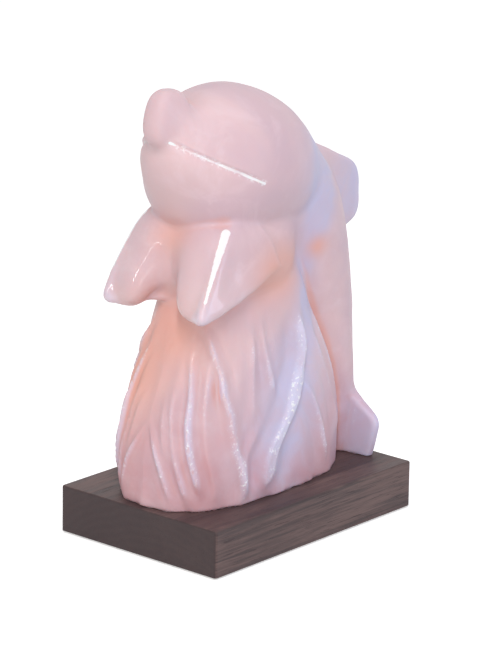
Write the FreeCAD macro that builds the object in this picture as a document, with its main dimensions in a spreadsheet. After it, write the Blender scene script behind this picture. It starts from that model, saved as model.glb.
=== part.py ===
# Salt crystal lamp: a carved dolphin rising from a wave, screwed to a wooden base.
#
# Millimetres, +Z up. The origin is on the table, under the middle of the base.
# The base's long side runs along Y, the dolphin looks towards -Y, and the lamp is
# symmetric about X = 0. A bulb holder closes the hole under the base and pulls out
# downwards, held by two sprung wire clips.
import FreeCAD, Part
import math
import os
import Sketcher

Vector = FreeCAD.Vector
Rotation = FreeCAD.Rotation
Placement = FreeCAD.Placement

doc = FreeCAD.newDocument("SaltLamp")

# ---------------------------------------------------------------- driving sizes
SIZES = [
    # wooden base and felt
    ("base_width", 108.0, "base across, X"),
    ("base_length", 158.0, "base along, Y"),
    ("base_thick", 25.0, "base thickness"),
    ("base_corner", 1.6, "rounding of the upright edges"),
    ("base_edge", 1.0, "rounding of the top edges"),
    ("felt_thick", 1.0, "felt under the base"),
    ("felt_inset", 3.0, "felt stands back from the edge"),
    ("hole_radius", 23.0, "hole through the base"),
    ("seat_radius", 33.0, "recess for the holder plate"),
    ("seat_depth", 4.0, "depth of that recess"),
    ("cord_hole_radius", 4.0, "cord hole in the back"),
    ("cord_hole_rise", 12.5, "cord hole above the underside"),
    # screws and wall plugs that hold the salt down
    ("screw_spread", 19.0, "screws each side of the middle"),
    ("screw_front", 46.0, "front screws ahead of the hole"),
    ("screw_back", 40.0, "back screws behind the hole"),
    ("screw_shank", 2.0, "screw radius"),
    ("screw_head", 4.2, "screw head radius"),
    ("screw_head_height", 2.6, "height of the head's cone"),
    ("screw_sink", 0.4, "head below the wood"),
    ("screw_grip", 16.0, "screw length in the salt"),
    ("screw_clear", 0.1, "play round the screw"),
    ("plug_radius", 4.0, "wall plug radius"),
    ("plug_length", 20.0, "wall plug length"),
    # bore in the salt
    ("bore_radius", 22.0, "bore for the bulb"),
    ("bore_depth", 104.0, "bore up to its cone"),
    ("bore_tip", 9.0, "height of the drill's cone"),
    # bulb holder
    ("plate_clear", 1.0, "play round the holder plate"),
    ("plate_thick", 3.0, "holder plate thickness"),
    ("grip_width", 14.0, "finger grip across"),
    ("grip_depth", 1.6, "finger grip depth"),
    ("vent_radius", 2.0, "air holes in the plate"),
    ("vent_circle", 24.0, "circle of the air holes"),
    ("boss_radius", 12.6, "boss on the plate"),
    ("boss_wall", 2.0, "wall of the boss"),
    ("boss_height", 18.0, "boss above the plate"),
    ("sleeve_wall", 1.6, "holder sleeve wall"),
    ("sleeve_length", 34.0, "holder sleeve length"),
    ("sleeve_lap", 4.5, "sleeve over the boss"),
    ("sleeve_mouth", 8.6, "mouth of the sleeve"),
    ("sleeve_lip", 1.8, "thickness of the mouth's rim"),
    ("fit_clear", 0.1, "play between holder parts"),
    ("block_height", 9.0, "contact block"),
    ("shell_length", 17.0, "screw shell"),
    ("shell_wall", 0.4, "screw shell wall"),
    ("shell_foot", 9.4, "radius of the shell's foot"),
    ("turn_clear", 0.08, "play between cap and shell"),
    ("strip_thick", 0.5, "contact strip thickness"),
    ("strip_width", 4.0, "contact strip width"),
    ("strip_rise", 3.0, "centre strip above the block"),
    ("strip_reach", 5.0, "centre strip to each side"),
    ("terminal_offset", 7.6, "terminal screw from the middle"),
    ("terminal_radius", 1.5, "terminal screw shank"),
    ("terminal_head", 2.6, "terminal screw head"),
    ("terminal_length", 5.0, "terminal screw in the block"),
    ("terminal_head_height", 1.4, "terminal screw head height"),
    # sprung wire clips
    ("wire_radius", 0.75, "spring wire"),
    ("wire_bend", 2.4, "bend radius of the wire"),
    ("clip_width", 10.0, "clip across, between wire centres"),
    ("clip_length", 30.0, "clip from its pivot to its top"),
    ("clip_clear", 0.3, "clip short of the bore"),
    ("clip_gap", 0.2, "half the gap between the wire's ends in the lug"),
    ("pivot_offset", 17.6, "clip pivot from the middle"),
    ("pivot_rise", 4.2, "clip pivot above the plate"),
    ("pivot_play", 0.06, "play of the wire in its lug"),
    ("lug_width", 5.0, "lug along the pivot"),
    ("lug_thick", 4.4, "lug across the pivot"),
    ("lug_top", 2.2, "lug above the pivot"),
    # bulb
    ("bulb_gap", 0.3, "bulb above the centre strip"),
    ("cap_radius", 6.95, "bulb cap radius"),
    ("cap_wall", 0.3, "bulb cap wall"),
    ("cap_length", 14.0, "bulb cap length"),
    ("tip_radius", 2.2, "contact tip"),
    ("tip_height", 0.8, "contact tip height"),
    ("insulator_height", 3.2, "insulator cone"),
    ("insulator_top", 6.2, "insulator at the cap"),
    ("glass_radius", 11.0, "bulb glass radius"),
    ("glass_wall", 0.7, "bulb glass wall"),
    ("glass_length", 36.0, "glass above the cap"),
    ("neck_depth", 6.0, "glass neck inside the cap"),
    ("shoulder_height", 6.0, "glass shoulder"),
    ("stem_radius", 2.0, "glass stem"),
    ("stem_height", 15.0, "glass stem above the cap"),
    ("lead_radius", 0.3, "lead wires"),
    ("lead_spread", 5.0, "leads each side at the filament"),
    ("lead_height", 21.0, "filament above the cap"),
    ("filament_radius", 0.35, "coiled filament, as a rod"),
    # carving: the wave, heights above its foot
    ("wave_width", 39.5, "half width at the foot"),
    ("wave_front", 76.5, "front of the foot"),
    ("wave_back", 62.0, "back of the foot"),
    ("wave_neck_width", 32.0, "half width under the flippers"),
    ("wave_neck_front", 51.0, "front under the flippers"),
    ("wave_neck_back", 36.0, "back under the flippers"),
    ("wave_neck_height", 97.0, "height of that neck"),
    ("wave_top", 126.0, "top of the wave inside the chest"),
    ("flute_count", 17.0, "flutes round the wave"),
    ("flute_depth", 1.6, "depth of the flutes"),
    # carving: body, head and face
    ("trunk_foot", 68.5, "tail stock at the foot, Y"),
    ("trunk_width", 33.0, "trunk half width at the neck"),
    ("trunk_depth", 35.0, "trunk half depth at the neck"),
    ("head_width", 37.5, "head half width"),
    ("head_length", 52.5, "head half length"),
    ("head_depth", 36.5, "head half depth"),
    ("head_y", -5.0, "head centre, Y"),
    ("head_z", 173.0, "head centre above the foot"),
    ("head_tilt", 28.0, "head tipped back, degrees"),
    ("chest_width", 33.5, "chest half width"),
    ("chest_length", 38.5, "chest half length"),
    ("chest_depth", 28.0, "chest half height"),
    ("chest_y", -16.0, "chest centre, Y"),
    ("chest_z", 128.0, "chest centre above the foot"),
    ("chest_tilt", 0.0, "chest tipped back, degrees"),
    ("chest_square", 2.7, "squareness of the chest, 2 is an oval"),
    ("jaw_width", 36.0, "throat and jaw half width"),
    ("jaw_length", 36.5, "throat and jaw half length"),
    ("jaw_depth", 35.5, "throat and jaw half depth"),
    ("jaw_y", -26.5, "throat and jaw centre, Y"),
    ("jaw_z", 168.5, "throat and jaw centre above the foot"),
    ("jaw_tilt", 10.0, "jaw tipped back, degrees"),
    ("beak_width", 9.6, "beak half width"),
    ("beak_length", 13.8, "beak half length"),
    ("beak_depth", 15.6, "beak half depth"),
    ("beak_y", -59.2, "beak centre, Y"),
    ("beak_z", 202.8, "beak centre above the foot"),
    ("beak_tilt", 9.0, "beak tipped back, degrees"),
    ("beak_square", 2.5, "squareness of the beak"),
    ("chin_width", 18.0, "chin half width"),
    ("chin_length", 13.0, "chin half length"),
    ("chin_depth", 18.0, "chin half depth"),
    ("chin_y", -53.5, "chin centre, Y"),
    ("chin_z", 181.0, "chin centre above the foot"),
    ("chin_tilt", 0.0, "chin tipped back, degrees"),
    ("chin_square", 2.0, "squareness of the chin"),
    # carving: flippers, three corners at the shoulder and one at the tip, and the full
    # front of each shoulder
    ("lobe_x", 20.5, "front of the shoulder, X"),
    ("lobe_y", -53.5, "front of the shoulder, Y"),
    ("lobe_z", 123.5, "front of the shoulder"),
    ("lobe_width", 12.0, "front of the shoulder, half width"),
    ("lobe_length", 24.0, "front of the shoulder, half length"),
    ("lobe_depth", 8.5, "front of the shoulder, half depth"),
    ("lobe_tilt", -62.0, "front of the shoulder tipped down, degrees"),
    ("lobe_turn", 10.0, "front of the shoulder turned out, degrees"),
    ("lobe_square", 2.4, "squareness of the front of the shoulder"),
    ("shoulder_top_x", 27.0, "top of the shoulder, X"),
    ("shoulder_top_y", -30.0, "top of the shoulder, Y"),
    ("shoulder_top_z", 152.0, "top of the shoulder"),
    ("shoulder_back_x", 38.0, "back of the shoulder, X"),
    ("shoulder_back_y", -14.0, "back of the shoulder, Y"),
    ("shoulder_back_z", 124.0, "back of the shoulder"),
    ("shoulder_low_x", 4.0, "underside of the shoulder, X"),
    ("shoulder_low_y", -26.0, "underside of the shoulder, Y"),
    ("shoulder_low_z", 114.0, "underside of the shoulder"),
    ("flipper_tip_x", 31.5, "tip of the flipper, X"),
    ("flipper_tip_y", -69.5, "tip of the flipper, Y"),
    ("flipper_tip_z", 103.0, "tip of the flipper"),
    # carving: the fin on the back and the tail
    ("fin_root_y", 50.0, "root of the fin, Y"),
    ("fin_root_z", 142.5, "root of the fin"),
    ("fin_tip_y", 91.7, "outer edge of the fin, Y"),
    ("fin_tip_z", 136.0, "outer edge of the fin"),
    ("fin_chord", 24.0, "half chord of the fin's root"),
    ("fin_thick", 9.0, "half thickness of the fin's root"),
    ("fluke_y", 70.5, "middle of the flukes, Y"),
    ("fluke_root_x", 3.0, "flukes start inside the tail stock, X"),
    ("fluke_height", 14.0, "middle of the flukes"),
    ("fluke_tip_x", 36.5, "tip of a fluke, X"),
    ("fluke_tip_height", 12.5, "tip of a fluke"),
    ("fluke_chord", 21.0, "half height of the flukes at the middle"),
    ("fluke_thick", 5.0, "half thickness of the flukes at the middle"),
]

sheet = doc.addObject("Spreadsheet::Sheet", "Sizes")
for row, (alias, number, note) in enumerate(SIZES, start=1):
    sheet.set(f"A{row}", note)
    sheet.set(f"B{row}", str(number))
    sheet.setAlias(f"B{row}", alias)
doc.recompute()


def size(alias):
    """A driving size from the sheet, as a plain number."""
    return float(sheet.get(alias))


# ------------------------------------------------- places worked out from sizes
# Each is the text of an expression, for setExpression.
BASE_UNDER = "Sizes.felt_thick"
BASE_TOP = "(Sizes.felt_thick + Sizes.base_thick)"
PLATE_TOP = "(Sizes.felt_thick + Sizes.seat_depth)"
PLATE_UNDER = f"({PLATE_TOP} - Sizes.plate_thick)"
PLATE_RADIUS = "(Sizes.seat_radius - Sizes.plate_clear)"
BOSS_TOP = f"({PLATE_TOP} + Sizes.boss_height)"
CORD_AXIS = "(Sizes.felt_thick + Sizes.cord_hole_rise)"
SLEEVE_UNDER = f"({BOSS_TOP} - Sizes.sleeve_lap)"
SLEEVE_BORE = "(Sizes.boss_radius + Sizes.fit_clear)"
SLEEVE_OUTER = f"({SLEEVE_BORE} + Sizes.sleeve_wall)"
BLOCK_TOP = f"({BOSS_TOP} + Sizes.block_height)"
SHELL_BORE = "(Sizes.cap_radius + Sizes.turn_clear)"
SHELL_OUTER = f"({SHELL_BORE} + Sizes.shell_wall)"
STRIP_TOP = f"({BLOCK_TOP} + Sizes.strip_rise)"
TIP_UNDER = f"({STRIP_TOP} + Sizes.bulb_gap)"
INSULATOR_UNDER = f"({TIP_UNDER} + Sizes.tip_height)"
CAP_UNDER = f"({INSULATOR_UNDER} + Sizes.insulator_height)"
CAP_TOP = f"({CAP_UNDER} + Sizes.cap_length)"
GLASS_TOP = f"({CAP_TOP} + Sizes.glass_length)"
PIVOT_AXIS = f"({PLATE_TOP} + Sizes.pivot_rise)"


# ----------------------------------------------------------------------- helpers
def bind(thing, **expressions):
    """Tie properties of an object to expressions. Double underscores stand for dots."""
    for name, text in expressions.items():
        thing.setExpression(name.replace("__", "."), text)
    return thing


def place(thing, x="0", y="0", z="0"):
    """Tie an object's position to three expressions."""
    for axis, text in zip("xyz", (x, y, z)):
        thing.setExpression(f".Placement.Base.{axis}", str(text))
    return thing


def cylinder(name, radius, height, x="0", y="0", z="0"):
    """An upright cylinder whose foot is at x, y, z."""
    made = doc.addObject("Part::Cylinder", name)
    bind(made, Radius=radius, Height=height)
    return place(made, x, y, z)


def cone(name, low_radius, high_radius, height, x="0", y="0", z="0"):
    """An upright cone or taper whose foot is at x, y, z."""
    made = doc.addObject("Part::Cone", name)
    bind(made, Radius1=low_radius, Radius2=high_radius, Height=height)
    return place(made, x, y, z)


def block(name, width, length, height, x="0", y="0", z="0"):
    """A box centred on x and y that stands on z."""
    made = doc.addObject("Part::Box", name)
    bind(made, Width=length, Length=width, Height=height)
    return place(made, f"{x} - ({width}) / 2", f"{y} - ({length}) / 2", z)


def fuse(name, *things):
    """Several solids joined into one."""
    made = doc.addObject("Part::MultiFuse", name)
    made.Shapes = list(things)
    return made


def cut(name, base, tool):
    """One solid with another taken away."""
    made = doc.addObject("Part::Cut", name)
    made.Base = base
    made.Tool = tool
    return made


def group(name, *things):
    """Separate solids kept together as one sub-part."""
    made = doc.addObject("Part::Compound", name)
    made.Links = list(things)
    return made


def body_plane(body, role):
    """One of the origin planes of a body."""
    for feature in body.Origin.OriginFeatures:
        if feature.Role == role:
            return feature
    raise ValueError(f"no plane {role}")


def new_sketch(body, name, role="XY_Plane", lift=None):
    """A sketch on one of its body's origin planes, lifted along that plane's normal."""
    sketch = body.newObject("Sketcher::SketchObject", name)
    sketch.AttachmentSupport = [(body_plane(body, role), "")]
    sketch.MapMode = "FlatFace"
    if lift is not None:
        sketch.setExpression(".AttachmentOffset.Base.z", lift)
    return sketch


def sketch_rectangle(sketch, width, length):
    """A rectangle centred on the sketch's origin, its two sizes bound to expressions."""
    half_x, half_y = 10.0, 15.0
    corners = [(-half_x, -half_y), (half_x, -half_y), (half_x, half_y), (-half_x, half_y)]
    first = sketch.GeometryCount
    for index, (x, y) in enumerate(corners):
        next_x, next_y = corners[(index + 1) % 4]
        line = Part.LineSegment(Vector(x, y, 0), Vector(next_x, next_y, 0))
        sketch.addGeometry(line, False)
    for index in range(4):
        after = first + (index + 1) % 4
        sketch.addConstraint(Sketcher.Constraint("Coincident", first + index, 2, after, 1))
    for index, rule in enumerate(("Horizontal", "Vertical", "Horizontal", "Vertical")):
        sketch.addConstraint(Sketcher.Constraint(rule, first + index))
    middle = Sketcher.Constraint("Symmetric", first, 1, first + 1, 2, -1, 1)
    sketch.addConstraint(middle)
    for edge, text, sign in ((first, width, "DistanceX"), (first + 1, length, "DistanceY")):
        number = sketch.addConstraint(Sketcher.Constraint(sign, edge, 1, edge, 2, 20.0))
        sketch.setExpression(f"Constraints[{number}]", text)


def sketch_circle(sketch, radius, x="0", y="0"):
    """A circle whose radius and centre are bound to expressions."""
    circle = Part.Circle(Vector(5, 5, 0), Vector(0, 0, 1), 3.0)
    index = sketch.addGeometry(circle, False)
    number = sketch.addConstraint(Sketcher.Constraint("Radius", index, 3.0))
    sketch.setExpression(f"Constraints[{number}]", radius)
    if x == "0" and y == "0":
        sketch.addConstraint(Sketcher.Constraint("Coincident", index, 3, -1, 1))
        return
    for sign, text in (("DistanceX", x), ("DistanceY", y)):
        number = sketch.addConstraint(Sketcher.Constraint(sign, -1, 1, index, 3, 5.0))
        sketch.setExpression(f"Constraints[{number}]", text)


def pad(body, sketch, name, length):
    """Material added from a sketch, along its normal."""
    made = body.newObject("PartDesign::Pad", name)
    made.Profile = sketch
    made.setExpression("Length", length)
    return made


def pocket(body, sketch, name, depth):
    """Material taken away from a sketch on the far side, along +normal."""
    made = body.newObject("PartDesign::Pocket", name)
    made.Profile = sketch
    made.Reversed = True
    made.setExpression("Length", depth)
    return made


def round_edges(body, feature, name, radius, wanted):
    """Fillet the edges of a feature for which wanted(edge) is true."""
    doc.recompute()
    names = []
    for index, edge in enumerate(feature.Shape.Edges, start=1):
        if wanted(edge):
            names.append(f"Edge{index}")
    made = body.newObject("PartDesign::Fillet", name)
    made.Base = (feature, names)
    made.setExpression("Radius", radius)
    return made


def smooth_outline(points):
    """A closed smooth curve through points, evenly timed so that lofts stay light."""
    curve = Part.BSplineCurve()
    times = [float(index) for index in range(len(points) + 1)]
    curve.interpolate(Points=points, Parameters=times, PeriodicFlag=True)
    return Part.Wire(curve.toShape())


def squarish(angle, power):
    """A point at an angle on a unit oval. power 2 is a circle, and more is squarer."""
    cosine = math.cos(angle)
    sine = math.sin(angle)
    u = math.copysign(abs(cosine) ** (2 / power), cosine)
    v = math.copysign(abs(sine) ** (2 / power), sine)
    return u, v


def oval(centre, across, along, count=12, power=2.0):
    """A closed smooth outline round centre, with half axes across and along."""
    points = []
    for index in range(count):
        u, v = squarish(2 * math.pi * index / count, power)
        points.append(centre + across * u + along * v)
    return smooth_outline(points)


def loft(name, wires):
    """A smooth closed solid through several outlines."""
    made = doc.addObject("Part::Feature", name)
    made.Shape = Part.makeLoft(wires, True, False)
    return made


# ---------------------------------------------------------------- wood and felt
SCREW_PLACES = [
    (x, y)
    for x in ("Sizes.screw_spread", "-Sizes.screw_spread")
    for y in ("-Sizes.screw_front", "Sizes.screw_back")
]


def make_wood_base():
    """Walnut block with its hole, recess, cord hole and countersunk screw holes."""
    body = doc.addObject("PartDesign::Body", "wood_base")
    outline = new_sketch(body, "base_outline", lift=BASE_UNDER)
    sketch_rectangle(outline, "Sizes.base_width", "Sizes.base_length")
    slab = pad(body, outline, "base_slab", "Sizes.base_thick")

    def upright(edge):
        first, last = (vertex.Point for vertex in edge.Vertexes)
        return abs(first.z - last.z) > 1

    corners = round_edges(body, slab, "base_corners", "Sizes.base_corner", upright)
    top = size("felt_thick") + size("base_thick")

    def on_top(edge):
        return all(abs(vertex.Point.z - top) < 0.01 for vertex in edge.Vertexes)

    round_edges(body, corners, "base_top_edge", "Sizes.base_edge", on_top)

    hole = new_sketch(body, "base_hole", lift=BASE_UNDER)
    sketch_circle(hole, "Sizes.hole_radius")
    pocket(body, hole, "base_hole_cut", "Sizes.base_thick")
    seat = new_sketch(body, "base_seat", lift=BASE_UNDER)
    sketch_circle(seat, "Sizes.seat_radius")
    pocket(body, seat, "base_seat_cut", "Sizes.seat_depth")
    cord = new_sketch(body, "base_cord_hole", role="XZ_Plane", lift="-Sizes.base_length / 2")
    sketch_circle(cord, "Sizes.cord_hole_radius", y=CORD_AXIS)
    pocket(body, cord, "base_cord_cut", "Sizes.base_length / 2 - Sizes.hole_radius / 2")

    for index, (x, y) in enumerate(SCREW_PLACES, start=1):
        shank = new_sketch(body, f"screw_hole_{index}", lift=BASE_UNDER)
        sketch_circle(shank, "Sizes.screw_shank + Sizes.screw_clear", x, y)
        pocket(body, shank, f"screw_hole_cut_{index}", "Sizes.base_thick")
        doc.recompute()
        sink = body.newObject("PartDesign::SubtractiveCone", f"screw_sink_{index}")
        bind(
            sink,
            Radius1="Sizes.screw_head + Sizes.screw_sink + Sizes.screw_clear",
            Radius2="Sizes.screw_shank + Sizes.screw_clear",
            Height="Sizes.screw_head_height + Sizes.screw_sink",
        )
        sink.AttachmentSupport = [(body_plane(body, "XY_Plane"), "")]
        sink.MapMode = "FlatFace"
        for axis, text in zip("xyz", (x, y, BASE_UNDER)):
            sink.setExpression(f".AttachmentOffset.Base.{axis}", text)
        doc.recompute()
    return body


def make_felt_sheet():
    """Felt glued under the base, with a hole for the holder plate."""
    body = doc.addObject("PartDesign::Body", "felt_sheet")
    outline = new_sketch(body, "felt_outline")
    sketch_rectangle(
        outline,
        "Sizes.base_width - 2 * Sizes.felt_inset",
        "Sizes.base_length - 2 * Sizes.felt_inset",
    )
    sketch_circle(outline, "Sizes.seat_radius")
    pad(body, outline, "felt_pad", "Sizes.felt_thick")
    return body


# ----------------------------------------------------- screws and plugs in the salt
def make_salt_screws():
    """Four countersunk screws, point up, from under the base into the plugs."""
    screws = []
    head_under = "(Sizes.felt_thick + Sizes.screw_sink)"
    shank_top = f"({BASE_TOP} + Sizes.screw_grip)"
    point = "(2 * Sizes.screw_shank)"
    for index, (x, y) in enumerate(SCREW_PLACES, start=1):
        head = cone(
            f"screw_cone_{index}",
            "Sizes.screw_head",
            "Sizes.screw_shank",
            "Sizes.screw_head_height",
            x,
            y,
            head_under,
        )
        shank = cylinder(
            f"screw_shank_{index}",
            "Sizes.screw_shank",
            f"{shank_top} - {head_under} - {point}",
            x,
            y,
            head_under,
        )
        tip = cone(
            f"screw_point_{index}",
            "Sizes.screw_shank",
            "Sizes.screw_shank / 5",
            point,
            x,
            y,
            f"{shank_top} - {point}",
        )
        screws.append(fuse(f"screw_{index}", head, shank, tip))
    return group("salt_screws", *screws)


def make_salt_plugs():
    """Four wall plugs, flush with the foot of the salt."""
    plugs = []
    for index, (x, y) in enumerate(SCREW_PLACES, start=1):
        outer = cylinder(
            f"plug_outer_{index}", "Sizes.plug_radius", "Sizes.plug_length", x, y, BASE_TOP
        )
        inner = cylinder(
            f"plug_inner_{index}",
            "Sizes.screw_shank + Sizes.screw_clear",
            "Sizes.screw_grip + Sizes.screw_shank / 4",
            x,
            y,
            BASE_TOP,
        )
        plugs.append(cut(f"plug_{index}", outer, inner))
    return group("salt_plugs", *plugs)


# -------------------------------------------------------------------- salt carving
# The carving is modelled standing on z = 0 and lifted onto the base at the end.
# Shapes of the carving, as shares of the sizes in the sheet.
FINE_STEPS = 720
WAVE_SQUARENESS = 2.6
# share of the way up to the neck, share of the way in, share of the flutes' depth
WAVE_STEPS = [
    (0.0, 0.0, 0.75),
    (0.3, -0.01, 1.0),
    (0.52, 0.2, 1.0),
    (0.75, 0.6, 1.0),
    (1.0, 1.0, 0.6),
]
WAVE_TOP_SHARE = 0.7
# share of the way back to the foot, share of the head's height, lean in degrees,
# shares of the trunk's half width and half depth
TRUNK_STATIONS = [
    (1.0, -0.012, 2.0, 0.54, 0.25),
    (0.975, 0.207, 6.0, 0.68, 0.36),
    (0.86, 0.448, 12.0, 0.75, 0.6),
    (0.722, 0.626, 22.0, 0.76, 0.82),
    (0.545, 0.787, 40.0, 0.82, 1.02),
    (0.19, 0.92, 56.0, 0.97, 1.03),
    (-0.027, 0.9885, 60.0, 1.0, 0.91),
]
FIN_CHORD_WAY = Vector(0, 0.24, -0.97)
# place along a blade, share of its chord, share of its thickness
FIN_SHARES = [(0.0, 1.0, 1.0), (0.4, 1.0, 0.9), (0.8, 0.86, 0.62), (1.0, 0.6, 0.3)]
FLUKE_SHARES = [(0.0, 1.0, 1.0), (0.42, 0.97, 0.9), (0.8, 0.7, 0.65), (1.0, 0.42, 0.34)]
# place of each of a flipper's outlines on the way to its tip, and its share of the shoulder
FLIPPER_SHARES = [(0.0, 1.0), (0.35, 0.9), (0.7, 0.64), (0.94, 0.28)]
CORNER_REACH = 0.16
# places of a mass's outlines on its way from end to end, as on a half circle
MASS_ANGLES = (-84, -63, -42, -21, 0, 21, 42, 63, 84)
MASS_STEPS = 16
SIDE_BULGE = 0.12


def corner(prefix, side=1):
    """A point whose three places are in the sheet. side mirrors it when it is -1."""
    return Vector(side * size(f"{prefix}_x"), size(f"{prefix}_y"), size(f"{prefix}_z"))


def ellipsoid(name):
    """A rounded mass of the body, its half sizes, place and tilt read from the sheet."""
    made = doc.addObject("Part::Ellipsoid", name)
    bind(
        made,
        Radius1=f"Sizes.{name}_length",
        Radius2=f"Sizes.{name}_width",
        Radius3=f"Sizes.{name}_depth",
    )
    upright = Rotation(Vector(1, 0, 0), 90 - size(f"{name}_tilt"))
    made.Placement = Placement(Vector(0, 0, 0), upright)
    return place(made, "0", f"Sizes.{name}_y", f"Sizes.{name}_z")


def rounded_mass(name, side=0):
    """A squarish mass of the body, lofted along its length.

    Its half sizes, place, tilt and squareness are read from the sheet. side is 0 on the
    middle of the body, and 1 or -1 for one of a pair, which also stands and turns outwards.
    """
    tilt = math.radians(size(f"{name}_tilt"))
    turn = side * math.radians(size(f"{name}_turn")) if side else 0.0
    forward = Vector(
        math.sin(turn) * math.cos(tilt), -math.cos(turn) * math.cos(tilt), math.sin(tilt)
    )
    across = Vector(math.cos(turn), math.sin(turn), 0)
    upward = across.cross(forward)
    centre = Vector(side * size(f"{name}_x") if side else 0, size(f"{name}_y"), size(f"{name}_z"))
    power = size(f"{name}_square")
    outlines = []
    for degrees in MASS_ANGLES:
        share, way = squarish(math.radians(degrees), power)
        here = centre + forward * (size(f"{name}_length") * way)
        wide = across * (size(f"{name}_width") * share)
        deep = upward * (size(f"{name}_depth") * share)
        outlines.append(oval(here, wide, deep, MASS_STEPS, power))
    word = {0: "", 1: "_right", -1: "_left"}[side]
    return loft(f"{name}{word}", outlines)


def wave_outline(height, front, back, half_width, flute):
    """Level outline of the wave: a squarish oval with even flutes round it."""
    middle = Vector(0, (back - front) / 2, height)
    half_length = (front + back) / 2
    fine = []
    for index in range(FINE_STEPS + 1):
        u, v = squarish(2 * math.pi * index / FINE_STEPS - math.pi / 2, WAVE_SQUARENESS)
        fine.append(middle + Vector(half_width * u, half_length * v, 0))
    run = [0.0]
    for before, after in zip(fine, fine[1:]):
        run.append(run[-1] + (after - before).Length)

    # ridges at the even places, the hollow of each flute at the odd ones
    count = round(size("flute_count")) * 2
    even = []
    step = 0
    for index in range(count):
        goal = run[-1] * index / count
        while run[step + 1] < goal:
            step += 1
        share = (goal - run[step]) / (run[step + 1] - run[step])
        even.append(fine[step] + (fine[step + 1] - fine[step]) * share)

    scoops = []
    for index in range(0, count, 2):
        ridge = even[index]
        hollow = even[index + 1]
        next_ridge = even[(index + 2) % count]
        outward = (next_ridge - ridge).normalize().cross(Vector(0, 0, 1))
        deepest = (ridge + next_ridge) * 0.5 - outward * flute
        if (hollow - deepest).dot(outward) < 0:
            deepest = hollow - outward * flute
        scoops.append(Part.Arc(ridge, deepest, next_ridge).toShape())
    return Part.Wire(scoops)


def make_wave():
    """The fluted wave that the dolphin rises from, wide at its foot."""
    foot = (size("wave_front"), size("wave_back"), size("wave_width"))
    neck = (size("wave_neck_front"), size("wave_neck_back"), size("wave_neck_width"))
    neck_height = size("wave_neck_height")
    depth = size("flute_depth")
    outlines = []
    for rise, draw_in, share in WAVE_STEPS:
        front, back, half_width = (
            low + (high - low) * draw_in for low, high in zip(foot, neck)
        )
        outlines.append(wave_outline(neck_height * rise, front, back, half_width, depth * share))
    front, back, half_width = (length * WAVE_TOP_SHARE for length in neck)
    outlines.append(wave_outline(size("wave_top"), front, back, half_width, depth / 5))
    return loft("wave", outlines)


def make_trunk():
    """The body from the tail stock up the arched back into the head."""
    neck_y = size("head_y")
    run_back = size("trunk_foot") - neck_y
    outlines = []
    for back, rise, lean, wide, deep in TRUNK_STATIONS:
        turn = math.radians(lean)
        middle = Vector(0, neck_y + run_back * back, size("head_z") * rise)
        across = Vector(size("trunk_width") * wide, 0, 0)
        depth_way = Vector(0, math.cos(turn), math.sin(turn))
        outlines.append(oval(middle, across, depth_way * (size("trunk_depth") * deep)))
    return loft("trunk", outlines)


def blade(name, root, tip, chord_way, chord, thick, shares):
    """A flat tapering fin from root to tip.

    chord and thick are half sizes at the root. shares lists, for each outline, its place
    along the blade and its shares of the chord and of the thickness.
    """
    outlines = []
    along = (tip - root).normalize()
    thick_way = along.cross(chord_way).normalize()
    level_way = thick_way.cross(along).normalize()
    for way, wide, deep in shares:
        centre = root + (tip - root) * way
        outlines.append(oval(centre, level_way * (chord * wide), thick_way * (thick * deep)))
    return loft(name, outlines)


def rounded_triangle(corners):
    """A closed smooth outline inside three corners, bulging gently between them."""
    middle = (corners[0] + corners[1] + corners[2]) * (1 / 3)
    points = []
    for index, here in enumerate(corners):
        before = corners[index - 1]
        after = corners[(index + 1) % 3]
        points.append(here + (before - here) * CORNER_REACH)
        points.append(here + (middle - here) * CORNER_REACH)
        points.append(here + (after - here) * CORNER_REACH)
        points.append((here + after) * 0.5 + ((here + after) * 0.5 - middle) * SIDE_BULGE)
    return smooth_outline(points)


def make_flipper(side):
    """One flipper, a three-sided blade swept forwards and down. side is 1 or -1."""
    word = "right" if side > 0 else "left"
    tip = corner("flipper_tip", side)
    shoulder = [corner(f"shoulder_{place_word}", side) for place_word in ("top", "back", "low")]
    middle = (shoulder[0] + shoulder[1] + shoulder[2]) * (1 / 3)
    outlines = []
    for way, share in FLIPPER_SHARES:
        here = middle + (tip - middle) * way
        outlines.append(rounded_triangle([here + (point - middle) * share for point in shoulder]))
    return loft(f"flipper_{word}", outlines)


def make_dorsal_fin():
    """The fin on the back, rounded off square."""
    return blade(
        "dorsal_fin",
        Vector(0, size("fin_root_y"), size("fin_root_z")),
        Vector(0, size("fin_tip_y"), size("fin_tip_z")),
        FIN_CHORD_WAY,
        size("fin_chord"),
        size("fin_thick"),
        FIN_SHARES,
    )


def make_fluke(side):
    """One half of the tail, standing on the base. side is 1 or -1."""
    word = "right" if side > 0 else "left"
    return blade(
        f"fluke_{word}",
        Vector(side * size("fluke_root_x"), size("fluke_y"), size("fluke_height")),
        Vector(side * size("fluke_tip_x"), size("fluke_y"), size("fluke_tip_height")),
        Vector(0, 0, 1),
        size("fluke_chord"),
        size("fluke_thick"),
        FLUKE_SHARES,
    )


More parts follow.
